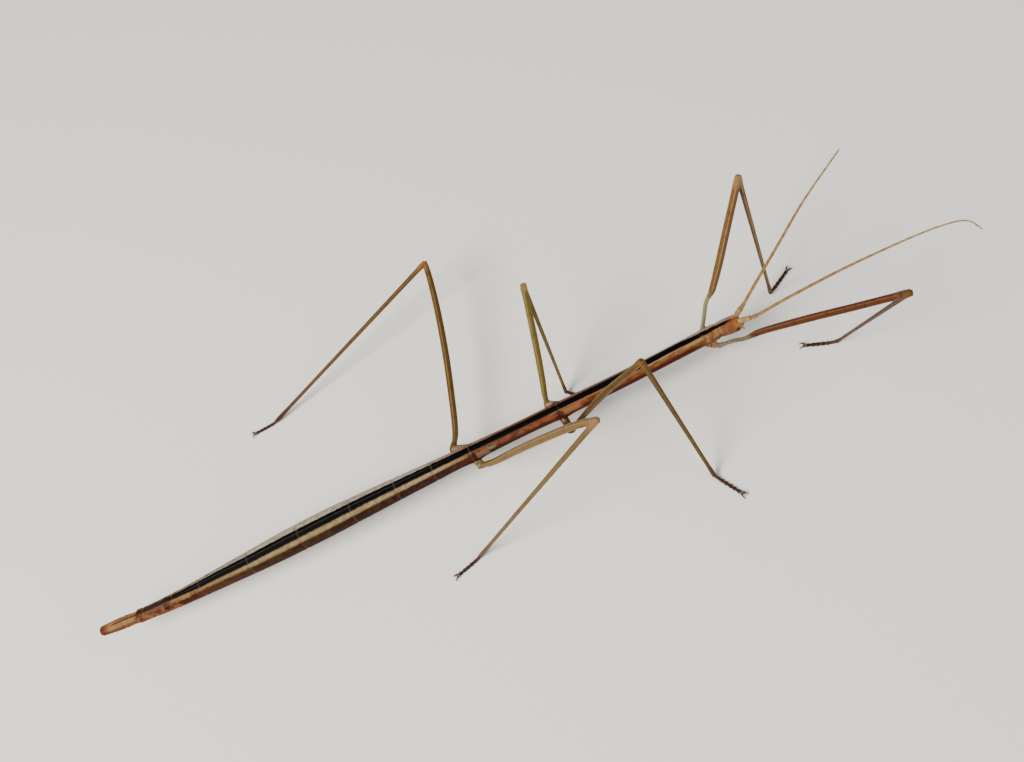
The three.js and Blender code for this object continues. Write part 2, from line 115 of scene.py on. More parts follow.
# a rounded way through places, measured in millimetres along it
class Way:
    reach = 0.15  # a heading is taken from this far behind to this far ahead

    def __init__(self, places):
        p = np.array(places, float)
        ends = np.vstack([2 * p[0] - p[1], p, 2 * p[-1] - p[-2]])
        dots = []
        for i in range(len(p) - 1):
            a, b, c, d = ends[i:i + 4]
            gaps = [max(np.linalg.norm(q - r), 1e-6) ** 0.5 for q, r in ((a, b), (b, c), (c, d))]
            leave = ((b - a) / gaps[0] - (c - a) / (gaps[0] + gaps[1]) + (c - b) / gaps[1]) * gaps[1]
            arrive = ((c - b) / gaps[1] - (d - b) / (gaps[1] + gaps[2]) + (d - c) / gaps[2]) * gaps[1]
            t = np.linspace(0, 1, 80, endpoint=i == len(p) - 2)[:, None]
            dots.append(cubic(t, b, c, leave, arrive))
        self.dots = np.vstack(dots)
        self.marks = np.concatenate([[0], np.cumsum(np.linalg.norm(np.diff(self.dots, axis=0), axis=1))])
        self.length = self.marks[-1]

    def dotAt(self, along):
        inside = np.clip(along, 0, self.length)
        return np.stack([np.interp(inside, self.marks, self.dots[:, k]) for k in range(3)], axis=-1)

    # past either end, places run straight on
    def at(self, along):
        inside = np.clip(along, 0, self.length)
        past = np.asarray(along, float) - inside
        return self.dotAt(inside) + self.heading(inside) * past[..., None]

    # further past an end than the reach it is zero, and a ring there closes to a point
    def heading(self, along):
        along = np.asarray(along, float)
        return unit(self.dotAt(along + self.reach) - self.dotAt(along - self.reach))


bodyWay = Way(bodyPlan["axis"])
chestLow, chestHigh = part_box("metathorax")
chestRear = bodyWay.at(np.array([chestStart + bodyPlan["seam"] / 2]))[0]
gridShift = np.array([chestLow.x * 1000 - chestRear[0], (chestLow.y + chestHigh.y) * 500 - chestRear[1], 0.0])
print("stage: grid shift", gridShift.round(4).tolist())


def toFrame(points):
    return (np.asarray(points, float) + gridShift) / 1000


# a skin is a mesh of rings, with the place on its length and the distance to a joint at each point
def newSkin():
    return {"points": [], "faces": [], "place": [], "joint": [], "finish": [], "uv": [], "count": 0}


# the order of the big skin's finishes, the six legs last
skinSlots = {"trunk": 0, "tailScoop": 1, "feelerSkin": 2, "footSkin": 3, "legs": 4}
uvSheet = {"x": 0.0, "y": 0.0, "row": 0.0, "width": 46.0, "gap": 0.35, "edge": 0.15}


# the next free strip on the skin's flat map
def takeStrip(length, girth):
    sheet = uvSheet
    if sheet["x"] + length > sheet["width"]:
        sheet["x"], sheet["y"], sheet["row"] = 0.0, sheet["y"] + sheet["row"] + sheet["gap"], 0.0
    corner = (sheet["x"], sheet["y"])
    sheet["x"] += length + sheet["gap"]
    sheet["row"] = max(sheet["row"], girth)
    return corner


def corners(*spots):
    return np.stack([np.stack(np.broadcast_arrays(*spot), -1) for spot in spots], axis=-2).reshape(-1, 2)


# the flat map of some rings: the length laid straight in strips, the girth at its mean width
def mapRings(skin, rings, strips):
    m = rings.shape[1]
    run = np.concatenate([[0], np.cumsum(np.linalg.norm(np.diff(rings.mean(1), axis=0), axis=1))])
    girth = np.linalg.norm(rings - np.roll(rings, 1, axis=1), axis=2).sum(1).mean()
    cuts = np.linspace(0, run[-1], strips + 1)
    starts = np.array([takeStrip(cuts[1], girth) for _ in range(strips)])
    strip = np.clip(np.searchsorted(cuts, (run[:-1] + run[1:]) / 2) - 1, 0, strips - 1)
    left = (run[:-1] - cuts[strip] + starts[strip, 0])[:, None]
    right = (run[1:] - cuts[strip] + starts[strip, 0])[:, None]
    low = starts[strip, 1][:, None] + np.arange(m)[None] * girth / m
    high = low + girth / m
    first, last = (low[0] + high[0]) / 2, (low[-1] + high[-1]) / 2
    skin["uv"] += [corners((left, low), (left, high), (right, high), (right, low)),
                   corners((left[0] - 0.1, first), (left[0], high[0]), (left[0], low[0])),
                   corners((right[-1] + 0.1, last), (right[-1], low[-1]), (right[-1], high[-1]))]


# rings: places on each section, from the underside round by the left. along and joint: one value a ring
def addRings(skin, rings, angles, along, finish, joint=None, strips=1):
    n, m = rings.shape[:2]
    first = skin["count"]
    skin["points"] += [rings.reshape(-1, 3), np.vstack([rings[0].mean(0), rings[-1].mean(0)])]
    place = np.stack([np.repeat(along, m), np.tile(np.sin(angles), n), np.tile(np.cos(angles), n)], axis=1)
    skin["place"] += [place, np.array([[along[0], 0, 0], [along[-1], 0, 0]])]
    joint = np.full(n, noJoint) if joint is None else joint
    skin["joint"] += [np.repeat(joint, m), joint[[0, -1]]]
    skin["count"] += n * m + 2

    i, j = np.meshgrid(np.arange(n - 1), np.arange(m), indexing="ij")
    k = (j + 1) % m
    quads = np.stack([i * m + j, i * m + k, (i + 1) * m + k, (i + 1) * m + j], axis=-1).reshape(-1, 4)
    skin["faces"] += (quads + first).tolist()
    cells = np.arange(m)
    nextCells = (cells + 1) % m
    tips, last = first + n * m, first + (n - 1) * m
    skin["faces"] += np.stack([np.full(m, tips), first + nextCells, first + cells], axis=1).tolist()
    skin["faces"] += np.stack([np.full(m, tips + 1), last + cells, last + nextCells], axis=1).tolist()
    skin["finish"] += [np.full(len(quads) + 2 * m, finish, np.int32)]
    mapRings(skin, rings, strips)


# sections along a way: half widths and half heights, a lift of each point, and a twist about the way
def sections(middles, headings, leftHint, halfWidths, halfHeights, angles, lift=0.0, twist=0.0):
    up = unit(np.cross(headings, leftHint))
    left = np.cross(up, headings)
    turn = np.broadcast_to(np.radians(twist), len(middles))[:, None]
    up, left = up * np.cos(turn) + left * np.sin(turn), left * np.cos(turn) - up * np.sin(turn)
    out = (halfWidths[:, None] + lift) * np.sin(angles)[None]
    rise = (halfHeights[:, None] + lift) * np.cos(angles)[None]
    return middles[:, None] - out[..., None] * left[:, None] + rise[..., None] * up[:, None]


def ringAngles(count):
    return np.linspace(-math.pi, math.pi, count, endpoint=False)


# rounds a tube's two ends: marks and radii with the rings of both domes, as shares of the end radii
def domed(marks, radii, startDome, endDome):
    bow = np.linspace(0, math.pi / 2, 7)[1:]
    closing = np.maximum(np.cos(bow), 0.02)
    newMarks, newRadii = marks, radii
    if startDome:
        before = marks[0] - radii[0] * startDome * np.sin(bow)
        newMarks = np.concatenate([before[::-1], newMarks])
        newRadii = np.concatenate([radii[0] * closing[::-1], newRadii])
    if endDome:
        newMarks = np.concatenate([newMarks, marks[-1] + radii[-1] * endDome * np.sin(bow)])
        newRadii = np.concatenate([newRadii, radii[-1] * closing])
    return newMarks, newRadii


# a plain tube on a way. flat: height as a share of width. under: height and spread of a ridge below
def addTube(skin, way, marks, radii, leftHint, around, finish, flat=1.0, under=(0.0, 1.0), drop=0.0):
    angles = ringAngles(around)
    lift = under[0] * hump(np.abs(np.degrees(angles))[None], 180, under[1])
    middles = way.at(marks) - np.array([0, 0, drop])
    rings = sections(middles, way.heading(marks), leftHint, radii, radii * flat, angles, lift)
    addRings(skin, rings, angles, marks, finish)


# trunk and head are one length of skin. The head's places are ahead of the neck, out to a side, and up
headPlan = {
    "roll": -20,
    "yaw": -3,
    "nod": 0.1,
    "widths": [(0, 0.9), (0.1, 0.89), (0.25, 0.94), (0.6, 1.0), (1.2, 1.04), (1.7, 1.05), (2.05, 1.02),
               (2.3, 0.95), (2.5, 0.83), (2.63, 0.66), (2.71, 0.46), (2.75, 0.24), (2.76, 0.03)],
    "heights": [(0, 0.8), (0.1, 0.79), (0.28, 0.83), (0.7, 0.86), (1.3, 0.89), (1.9, 0.87), (2.2, 0.81),
                (2.45, 0.7), (2.62, 0.53), (2.71, 0.36), (2.75, 0.18), (2.76, 0.02)],
    "eyes": (2.0, 0.92, -0.08),
    "eyeRadius": 0.27,
    "eyeTall": 1.12,
    "feelers": (2.3, 0.42, 0.5),
    "cheeks": (1.15, 1, -0.15),
    "cheekHeight": 0.02,
    "furrow": 1.62,
    "furrowDepth": 0.022,
    "socketDepth": 0.1,
    # the rims round eyes and feeler roots: distance from their middle, spread and height
    "eyeRim": (0.31, 0.07, 0.05),
    "feelerRim": (0.36, 0.08, 0.07),
}
yaw, roll = math.radians(headPlan["yaw"]), math.radians(headPlan["roll"])
yawTurn = np.array([[math.cos(yaw), -math.sin(yaw), 0], [math.sin(yaw), math.cos(yaw), 0], [0, 0, 1]])
rollTurn = np.array([[1, 0, 0], [0, math.cos(roll), -math.sin(roll)], [0, math.sin(roll), math.cos(roll)]])
headTurn = yawTurn @ rollTurn
neck = bodyWay.at(np.array([bodyLength]))[0]


def headPoint(ahead, out, up):
    return neck + headTurn @ np.array([ahead, out, up], float)


def headSpot(key, side):
    return np.array(headPlan[key]) * (1, side, 1)


# rings lie closer together at the joints, on the head and where the two ends round off
def trunkMarks():
    plan = bodyPlan
    start = 0.02
    bow = 1 - np.cos(np.linspace(0, math.pi / 2, 12))
    marks = [np.arange(start, bodyLength, plan["ringStep"]), start + 0.4 * bow,
             np.arange(chestEnd, wholeLength, plan["headStep"]), wholeLength - 0.3 * bow]
    marks += [np.arange(edge - 0.5, edge + 0.5, plan["jointStep"]) for edge in plateEdges]
    marks = np.unique(np.round(np.concatenate(marks), 4))
    return marks[np.concatenate([[True], np.diff(marks) > 0.012])]


def trunkHalfWidths(marks):
    plates = bodyPlan["plates"]
    starts = np.concatenate([[0], plateEdges[:-1]])
    widths = np.zeros(len(marks))
    for i, (length, rear, middle) in enumerate(plates):
        front = plates[i + 1][1] if i + 1 < len(plates) else bodyPlan["neckWidth"]
        bend = 2 * (rear + front) - 4 * middle
        share = (marks - starts[i]) / length
        inside = (share >= 0) & (share < 1)
        widths[inside] = (rear + (front - rear - bend) * share + bend * share**2)[inside]
    tip = np.clip(marks / bodyPlan["tipLength"], 0, 1)
    half = widths / 2 * np.sqrt(np.maximum(1 - (1 - tip) ** 2, 0.0006))
    # the scoop-shaped end steps in where the two last plates lap over it
    step = bodyPlan["tailStep"]
    past = marks - step["at"]
    return half * (1 + np.where(past < 0, -step["dip"] * hump(past, 0, step["dipSpread"]),
                                step["swell"] * hump(past, 0, step["swellSpread"])))


# how far each point of the trunk stands out from its plain oval
def trunkLift(marks, angles):
    plan = bodyPlan
    degrees = np.degrees(angles)[None]
    side = np.abs(degrees)
    along = marks[:, None]
    lift = np.zeros((len(marks), len(angles)))
    # each plate's rear edge laps over the front of the one behind it, less so on the chest
    nearTop = 0.45 + 0.55 * (np.cos(np.radians(degrees)) + 1) / 2
    for edge in plateEdges[:-1]:
        soft = plan["chestJoint"] if edge >= chestStart else 1.0
        dip = plan["jointDip"] * soft * hump(along - edge, -0.1, 0.13)
        lift += nearTop * (plan["jointLip"] * hump(along - edge, 0.16, 0.16) - dip)
    onTail = (along > 1.0) & (along < ringsEnd)
    onChest = (along > chestStart) & (along < chestEnd)
    for where, ridges in ((onTail, plan["tailRidges"]), (onChest, plan["chestRidges"])):
        for spot, spread, height in ridges:
            lift += where * height * hump(side, spot, spread)
    lift -= plan["bellyFurrow"] * hump(side, 180, 26) * (along > 1.5) * (along < bodyLength - 2)
    for legAt, swell in plan["shoulders"]:
        lift += swell * hump(along, legAt, 0.9) * hump(side, plan["shoulderSide"], 30)
    # the crossed furrows of the pronotum run from its middle to its corners
    shield = plan["pronotum"]
    fore = along - (chestEnd + shield["middle"])
    onFore = (along > chestEnd + 0.15) & (along < bodyLength - 0.12)
    cross = np.abs(side - shield["cornerAngle"] * np.abs(fore) / shield["cornerAhead"])
    rims = hump(fore, shield["rimFore"], 0.12) + hump(fore, shield["rimRear"], 0.12)
    lift -= onFore * shield["crossDepth"] * hump(cross, 0, 9) * (side < 75)
    lift -= onFore * shield["acrossDepth"] * hump(fore, 0, 0.12) * hump(side, 0, 70)
    lift += onFore * shield["rimHeight"] * rims
    # the last plate has a groove down its middle, a ridge to each side and a raised rim round its tip
    last = plan["lastPlate"]
    onLast = (along < 3.1) & (along > 0.25)
    lift += onLast * (last["ridges"] * hump(side, 38, 16) - last["groove"] * hump(degrees, -3, 9))
    return lift + last["tipRim"] * hump(along, 0.3, 0.18) * hump(side, 60, 60)


# raised rims round the eyes and feeler roots, cheeks and a furrow between the eyes
def shapeFace(rings, marks):
    local = (rings - neck) @ headTurn
    ahead, out, up = np.moveaxis(local, -1, 0)
    centre = np.stack([marks - bodyLength, 0 * marks, 0 * marks], 1)[:, None]
    outward = unit((local - centre) * (0, 1, 1) + np.array([0.25, 0, 0]) * (local[..., :1] > 2.2))
    push = np.zeros(ahead.shape)
    plan = headPlan
    for side in (1, -1):
        at, spread, height = plan["eyeRim"]
        away = np.linalg.norm((local - headSpot("eyes", side)) * (1, 0.4, 1), axis=2)
        rims = height * hump(away, at, spread) - plan["socketDepth"] * (away < 0.26)
        at, spread, height = plan["feelerRim"]
        away = np.linalg.norm(local - headSpot("feelers", side), axis=2)
        rims += height * hump(away, at, spread) - plan["socketDepth"] * hump(away, 0, 0.22)
        push += rims * (out * side > 0)
        away = np.linalg.norm(local - headSpot("cheeks", side), axis=2)
        push += plan["cheekHeight"] * hump(away, 0, 0.55)
    furrow = ahead - plan["furrow"] - 0.1 * np.cos(out * 3)
    push -= (up > 0) * plan["furrowDepth"] * hump(furrow, 0, 0.07) * hump(out, 0, 0.55)
    push += (up > 0) * 0.014 * hump(out, 0, 0.05) * (ahead < 1.9)
    push *= (marks > bodyLength + 0.1)[:, None]
    return (local + outward * push[..., None]) @ headTurn.T + neck


def buildTrunk(skin):
    marks = trunkMarks()
    ahead = marks - bodyLength
    inHead = ahead > 0
    middles = bodyWay.at(np.minimum(marks, bodyLength))
    sink = -headPlan["nod"] * np.clip(ahead / headLength, 0, 1) ** 2
    middles[inHead] = (neck + np.stack([ahead, 0 * ahead, sink], 1) @ headTurn.T)[inHead]
    headings = bodyWay.heading(np.minimum(marks, bodyLength))
    headings[inHead] = headTurn[:, 0]
    half = trunkHalfWidths(marks)
    half[inHead] = smoothThrough(headPlan["widths"], ahead[inHead])
    tall = half * bodyPlan["depth"]
    tall[inHead] = smoothThrough(headPlan["heights"], ahead[inHead])
    # the skin draws in a little at the neck
    drawn = 0.95 + 0.05 * np.clip(np.abs(ahead - 0.02) / 0.22, 0, 1) ** 1.5
    neckSoft = np.where((ahead <= 0) & (ahead > -0.3), drawn, 1)
    half, tall = half * neckSoft, tall * neckSoft
    angles = ringAngles(bodyPlan["around"])
    twist = smoothThrough(bodyPlan["twist"], marks)
    rings = sections(middles, headings, (0, 1, 0), half, tall, angles, trunkLift(marks, angles), twist)
    jointGap = np.minimum(np.abs(marks[:, None] - plateEdges[:-1] + 0.03).min(1), noJoint)
    addRings(skin, shapeFace(rings, marks), angles, marks, skinSlots["trunk"], jointGap, strips=2)


# the scoop under the last plates and the two short cerci
tailPlan = {
    "scoop": [(1.8, 0.28), (3.5, 0.5), (5.9, 0.68), (8.6, 0.5)],
    "scoopDrop": 0.42,
    "scoopDepth": 0.84,
    "keel": (0.03, 14),
    "cercus": {"from": -49.25, "length": 0.64, "radius": 0.14, "out": 0.24, "drop": 0.34},
}


def buildTailEnd(skin):
    plan = tailPlan
    marks = np.linspace(plan["scoop"][0][0], plan["scoop"][-1][0], 44)
    marks, radii = domed(marks, smoothThrough(plan["scoop"], marks), 0.7, 0.4)
    slot = skinSlots["tailScoop"]
    addTube(skin, bodyWay, marks, radii, (0, 1, 0), 28, slot,
            flat=plan["scoopDepth"], under=plan["keel"], drop=plan["scoopDrop"])
    small = plan["cercus"]
    for side in (1, -1):
        root = np.array([small["from"], side * small["out"], bodyPlan["height"] - small["drop"]])
        way = Way([root, root + (-small["length"], side * 0.03, -0.04)])
        marks = np.linspace(0, way.length, 10)
        marks, radii = domed(marks, np.linspace(small["radius"], small["radius"] * 0.55, 10), 1, 1)
        addTube(skin, way, marks, radii, (0, 0, 1), 14, slot)


# the ringed feelers: radii and ends of the lengths are measured along each one
feelerPlan = {
    "paths": {
        "left": [(34.6, 1.0, 7.0), (36.5, 1.4, 10.0), (39.0, 1.7, 14.5), (41.9, 2.0, 20.0), (44.3, 1.5, 25.5),
                 (44.7, 1.0, 27.5)],
        "right": [(35.0, -0.4, 6.3), (39.2, -0.9, 8.0), (46.1, -1.8, 10.5), (54.2, -3.4, 13.0),
                  (56.2, -4.1, 13.0), (57.3, -5.3, 12.0)],
    },
    "pedicelEnd": 2.3,
    "radii": [(0, 0.22), (0.2, 0.28), (0.6, 0.32), (1.2, 0.31), (1.46, 0.26), (1.54, 0.18), (1.62, 0.23),
              (2.0, 0.235), (2.24, 0.21), (2.32, 0.17), (2.5, 0.19), (6, 0.175), (12, 0.15), (18, 0.115),
              (26.5, 0.075)],
    "linkLength": 0.85,
    "linkPinch": 0.014,  # where the feeler's radius is pinchRadius, and in step with it elsewhere
    "pinchRadius": 0.17,
    "around": 14,
}


def buildFeeler(skin, name, side):
    plan = feelerPlan
    way = Way([headPoint(*headSpot("feelers", side))] + plan["paths"][name])
    marks = np.unique(np.concatenate([np.arange(0, 2.6, 0.05), np.arange(2.6, way.length - 0.1, 0.14)]))
    radii = smoothThrough(plan["radii"], marks)
    pastRing = (marks - plan["pedicelEnd"]) % plan["linkLength"]
    pinch = plan["linkPinch"] * (hump(pastRing, 0, 0.1) + hump(pastRing, plan["linkLength"], 0.1))
    pinch[marks <= plan["pedicelEnd"]] = 0
    marks, radii = domed(marks, radii - pinch * radii / plan["pinchRadius"], 0, 1)
    addTube(skin, way, marks, radii, (0, 1, 0), plan["around"], skinSlots["feelerSkin"])


# the legs: radii at shares of each length, and the sizes of each pair
legPlan = {
    "coxa": {"inside": 0.4, "below": 0.3},
    "tibia": [(0, 0.3), (0.02, 0.33), (0.06, 0.29), (0.3, 0.26), (0.6, 0.23), (0.9, 0.215), (0.97, 0.25),
              (1, 0.24)],
    "ankleHeight": 0.5,
    "toeLength": 3.3,
    "toeHeight": 0.22,
    "toeRadii": [(0, 0.25), (0.1, 0.2), (0.28, 0.19), (0.33, 0.25), (0.37, 0.17), (0.5, 0.24),
                 (0.54, 0.17), (0.66, 0.24), (0.7, 0.17), (0.8, 0.235), (0.84, 0.16), (0.97, 0.21),
                 (1, 0.2)],
    "lowest": 0.004,  # no part of a foot is nearer the floor
    "front": {"coxa": 0.43, "hip": 0.32, "base": 0.22, "thick": 0.4, "joint": 0.37},
    "middle": {"coxa": 0.5, "hip": 0.54, "base": 0.3, "thick": 0.38, "joint": 0.38},
    "hind": {"coxa": 0.54, "hip": 0.56, "base": 0.33, "thick": 0.42, "joint": 0.36},
    "ridges": 5,
    "ridgeHeight": 0.028,
    "shinRidgeHeight": 0.014,
    "legs": {  # where the coxa leaves the body, hip, knee, foot and the toes' heading
        "front_left": (30.5, (29.95, 1.62, 4.8), (36.7, 4.2, 25.7), (39.4, 4.0), 30),
        "front_right": (29.3, (30.75, -1.1, 4.75), (44.2, -11.9, 22.5), (42.8, -5.0), 158),
        "middle_left": (12.2, (10.5, 1.64, 4.7), (14.4, 9.1, 18.0), (12.8, 4.0), -40),
        "middle_right": (11.5, (11.8, -2.35, 4.2), (21.7, -4.1, 16.7), (23.8, -12.9), -60),
        "hind_left": (1.1, (-1.7, 1.7, 4.7), (3.9, 25.1, 7.7), (-23.5, 18.6), 183),
        "hind_right": (0.3, (0.75, -1.55, 4.5), (15.5, -9.8, 22.0), (-3.9, -9.9), 196),
    },
    # the share of the femur that its thin base takes, and how far it bends off the straight at some shares
    "baseShare": {"front_left": 0.27, "front_right": 0.19, "middle_left": 0.08, "middle_right": 0.26,
                  "hind_left": 0.06, "hind_right": 0.06},
    "bends": {
        "front_left": [(0.12, (-0.23, -0.02, -0.03)), (0.235, (-0.38, -0.03, -0.04)),
                       (0.295, (-0.1, -0.09, -0.11)), (0.45, (0.01, -0.1, -0.11)), (0.7, (0, -0.06, -0.06))],
        "front_right": [(0.1, (0.03, 0.07, 0.03)), (0.17, (0, 0, 0)), (0.25, (0.1, 0.19, 0.08)),
                        (0.5, (0.11, 0.2, 0.09)), (0.78, (0.04, 0.08, 0.04))],
        "middle_left": [(0.1, (-0.12, -0.19, -0.11)), (0.25, (-0.03, -0.19, -0.11)),
                        (0.6, (0.04, -0.13, -0.08))],
        "middle_right": [(0.2, (-0.07, 0.17, 0.1)), (0.38, (-0.1, 0.27, 0.15)), (0.58, (-0.11, 0.28, 0.16)),
                         (0.8, (-0.05, 0.14, 0.08))],
        "hind_left": [(0.06, (0.48, -0.14, 0)), (0.13, (0.66, -0.21, -0.07)), (0.25, (0.75, -0.25, -0.12)),
                      (0.5, (0.81, -0.29, -0.17)), (0.75, (0.61, -0.23, -0.15)), (0.93, (0.26, -0.1, -0.07))],
        "hind_right": [(0.12, (-0.07, -0.14, -0.06)), (0.35, (0.03, 0.07, 0.03)), (0.6, (0.11, 0.21, 0.09)),
                       (0.85, (0.11, 0.22, 0.1))],
    },
    # shares of the usual thickness of each femur and shin
    "build": {"front_left": (1, 0.92), "front_right": (0.94, 0.8), "middle_left": (0.98, 0.9),
              "middle_right": (0.98, 1.05), "hind_left": (0.98, 1.05), "hind_right": (1, 1)},
}


legParts = {"coxa": 0, "thigh": 1, "shin": 2, "foot": 3}


# a tube of one leg part. The place on it is the part's number and the share of its length
def legTube(skin, way, marks, radii, part, finish, around, ridge=0.0, domes=(1, 1), onFloor=False):
    marks, radii = domed(marks, radii, *domes)
    angles = ringAngles(around)
    crest = ridge * np.cos(legPlan["ridges"] * angles)[None] * np.clip(radii / 0.3, 0, 1)[:, None]
    leftHint = np.array([0.3, 1, 0.1])
    if abs(unit(way.dots[-1] - way.dots[0]) @ unit(leftHint)) > 0.9:
        leftHint = np.array([-1, 0.2, 0])
    rings = sections(way.at(marks), way.heading(marks), leftHint, radii, radii, angles, crest)
    if onFloor:
        rings[..., 2] = np.maximum(rings[..., 2], legPlan["lowest"])
    addRings(skin, rings, angles, part + np.clip(marks / way.length, 0, 0.999), finish)


# shares of a length, closer together near its two ends
def legShares(end, nearStart, between, nearEnd):
    return np.unique(np.concatenate([np.linspace(0, end, nearStart), np.linspace(end, 1 - end, between),
                                     np.linspace(1 - end, 1, nearEnd)]))


def thighShape(base, thick, joint, narrow):
    shape = [(0, base + 0.06), (0.025, base + 0.05), (0.036, base - 0.02), (0.05, base)]
    if narrow > 0.1:
        shape += [(narrow * 0.85, base * 1.02)]
    shape += [(narrow + 0.05, thick * 0.9), (0.5, thick), (0.93, thick * 0.9)]
    return shape + [(0.975, joint), (1, joint * 0.93)]


# builds one leg and returns where its toes end and which way they point
def buildLeg(skin, name, finish):
    plan = legPlan
    pair = plan[name.split("_")[0]]
    coxaAt, hip, knee, foot, heading = plan["legs"][name]
    thighBuild, shinBuild = plan["build"][name]
    hip, knee = np.array(hip, float), np.array(knee, float)
    middle = bodyWay.at(np.array([coxaAt + 50.0]))[0, 1]
    inner = np.array([coxaAt, middle + np.sign(hip[1]) * plan["coxa"]["inside"],
                      bodyPlan["height"] - plan["coxa"]["below"]])
    ankle = np.array([foot[0], foot[1], plan["ankleHeight"]])
    ahead = np.array([math.cos(math.radians(heading)), math.sin(math.radians(heading)), 0])

    way = Way([inner, hip])
    share = np.linspace(0, 1, 22)
    coxa = [(0, 0.4), (0.35, pair["coxa"]), (0.7, pair["coxa"] * 0.94),
            (0.84, pair["hip"] * 0.9), (1, pair["hip"])]
    legTube(skin, way, share * way.length, smoothThrough(coxa, share), legParts["coxa"], finish, 22)

    turns = [hip + (knee - hip) * where + np.array(shift, float) for where, shift in plan["bends"][name]]
    way = Way([hip] + turns + [knee])
    share = legShares(0.06, 14, 84, 10)
    thigh = thighShape(pair["base"], pair["thick"] * thighBuild, pair["joint"], plan["baseShare"][name])
    radii = smoothThrough(thigh, share)
    legTube(skin, way, share * way.length, radii, legParts["thigh"], finish, 20, plan["ridgeHeight"])

    way = Way([knee, ankle])
    share = legShares(0.08, 12, 70, 8)
    radii = smoothThrough(plan["tibia"], share) * shinBuild
    legTube(skin, way, share * way.length, radii, legParts["shin"], finish, 16, plan["shinRidgeHeight"])

    landing, toeEnd = ankle + ahead * 0.8, ankle + ahead * plan["toeLength"]
    landing[2] = toeEnd[2] = plan["toeHeight"]
    way = Way([ankle, landing, toeEnd])
    share = np.linspace(0, 1, 64)
    radii = smoothThrough(plan["toeRadii"], share)
    slot = skinSlots["footSkin"]
    legTube(skin, way, share * way.length, radii, legParts["foot"], slot, 16, domes=(1, 0.8), onFloor=True)
    return toeEnd, ahead


clawPlan = {
    "reach": 0.7, "spread": 0.3, "arch": 0.42, "root": 0.11, "bend": 0.06, "tip": 0.03, "tipHeight": 0.06,
    "pad": 0.19, "padAhead": 0.14,
}


def buildClaws(toeEnd, ahead):
    plan = clawPlan
    pair = newSkin()
    across = np.cross((0, 0, 1), ahead)
    root = toeEnd + ahead * 0.12
    share = np.linspace(0, 1, 26)
    claw = [(0, plan["root"]), (0.3, plan["root"] * 0.95), (0.75, plan["bend"]), (1, plan["tip"])]
    for side in (1, -1):
        bend = root + ahead * plan["reach"] * 0.45 + across * side * plan["spread"] * 0.7
        bend[2] = plan["arch"]
        tip = root + ahead * plan["reach"] + across * side * plan["spread"]
        tip[2] = plan["tipHeight"]
        way = Way([root + across * side * 0.05, bend, tip])
        legTube(pair, way, share * way.length, smoothThrough(claw, share), 0, 0, 12)
    way = Way([root - ahead * 0.1, root + ahead * plan["padAhead"]])
    legTube(pair, way, np.linspace(0, 1, 8) * way.length, np.full(8, plan["pad"]), 1, 1, 16, onFloor=True)
    return pair


# a colour code as the linear tone that a shader takes
def tone(code):
    parts = [int(code[i:i + 2], 16) / 255 for i in (1, 3, 5)]
    return tuple(p / 12.92 if p <= 0.04045 else ((p + 0.055) / 1.055) ** 2.4 for p in parts) + (1.0,)


def link(tree, source, target):
    tree.links.new(source, target)


# fills a socket from another socket, a colour code or a number
def feed(tree, socket, value):
    if isinstance(value, bpy.types.NodeSocket):
        link(tree, value, socket)
    elif isinstance(value, str):
        socket.default_value = tone(value)
    elif value is not None:
        socket.default_value = value


def sums(tree, operation, a, b=None, clamp=False):
    node = tree.nodes.new("ShaderNodeMath")
    node.operation = operation
    node.use_clamp = clamp
    feed(tree, node.inputs[0], a)
    feed(tree, node.inputs[1], b)
    return node.outputs[0]


def times(tree, first, *others):
    for other in others:
        first = sums(tree, "MULTIPLY", first, other)
    return first


def blendTones(tree, mask, under, over, how="MIX"):
    node = tree.nodes.new("ShaderNodeMix")
    node.data_type = "RGBA"
    node.blend_type = how
    feed(tree, node.inputs["Factor"], mask)
    feed(tree, node.inputs[6], under)
    feed(tree, node.inputs[7], over)
    return node.outputs[2]


# lays one tone over another by a share of a mask
def cover(tree, mask, share, under, over):
    return blendTones(tree, times(tree, mask, share), under, over)


def blendValues(tree, mask, under, over):
    node = tree.nodes.new("ShaderNodeMix")
    node.data_type = "FLOAT"
    feed(tree, node.inputs[0], mask)
    feed(tree, node.inputs[2], under)
    feed(tree, node.inputs[3], over)
    return node.outputs[0]


def toneRamp(tree, factor, stops):
    node = tree.nodes.new("ShaderNodeValToRGB")
    ramp = node.color_ramp
    ramp.interpolation = "LINEAR"
    while len(ramp.elements) < len(stops):
        ramp.elements.new(0.5)
    for element, (spot, colour) in zip(ramp.elements, stops):
        element.position = spot
        element.color = tone(colour) if isinstance(colour, str) else (colour, colour, colour, 1)
    feed(tree, node.inputs[0], factor)
    return node.outputs[0]


def noiseOf(tree, vector, scale, detail=3.0, rough=0.55):
    node = tree.nodes.new("ShaderNodeTexNoise")
    node.inputs["Scale"].default_value = scale
    node.inputs["Detail"].default_value = detail
    node.inputs["Roughness"].default_value = rough
    link(tree, vector, node.inputs["Vector"])
    return node.outputs["Fac"]


def cellsOf(tree, vector, scale):
    node = tree.nodes.new("ShaderNodeTexVoronoi")
    node.inputs["Scale"].default_value = scale
    link(tree, vector, node.inputs["Vector"])
    return node.outputs["Distance"]


def meshValue(tree, name, output):
    node = tree.nodes.new("ShaderNodeAttribute")
    node.attribute_name = name
    return node.outputs[output]


# the object's own coordinates in millimetres
def millimetresOf(tree):
    coords = tree.nodes.new("ShaderNodeTexCoord")
    scaled = tree.nodes.new("ShaderNodeVectorMath")
    scaled.operation = "SCALE"
    scaled.inputs["Scale"].default_value = 1000
    link(tree, coords.outputs["Object"], scaled.inputs[0])
    return scaled.outputs[0]


vectorSockets = ("Flow", "Millimetres")  # the groups' other sockets are numbers


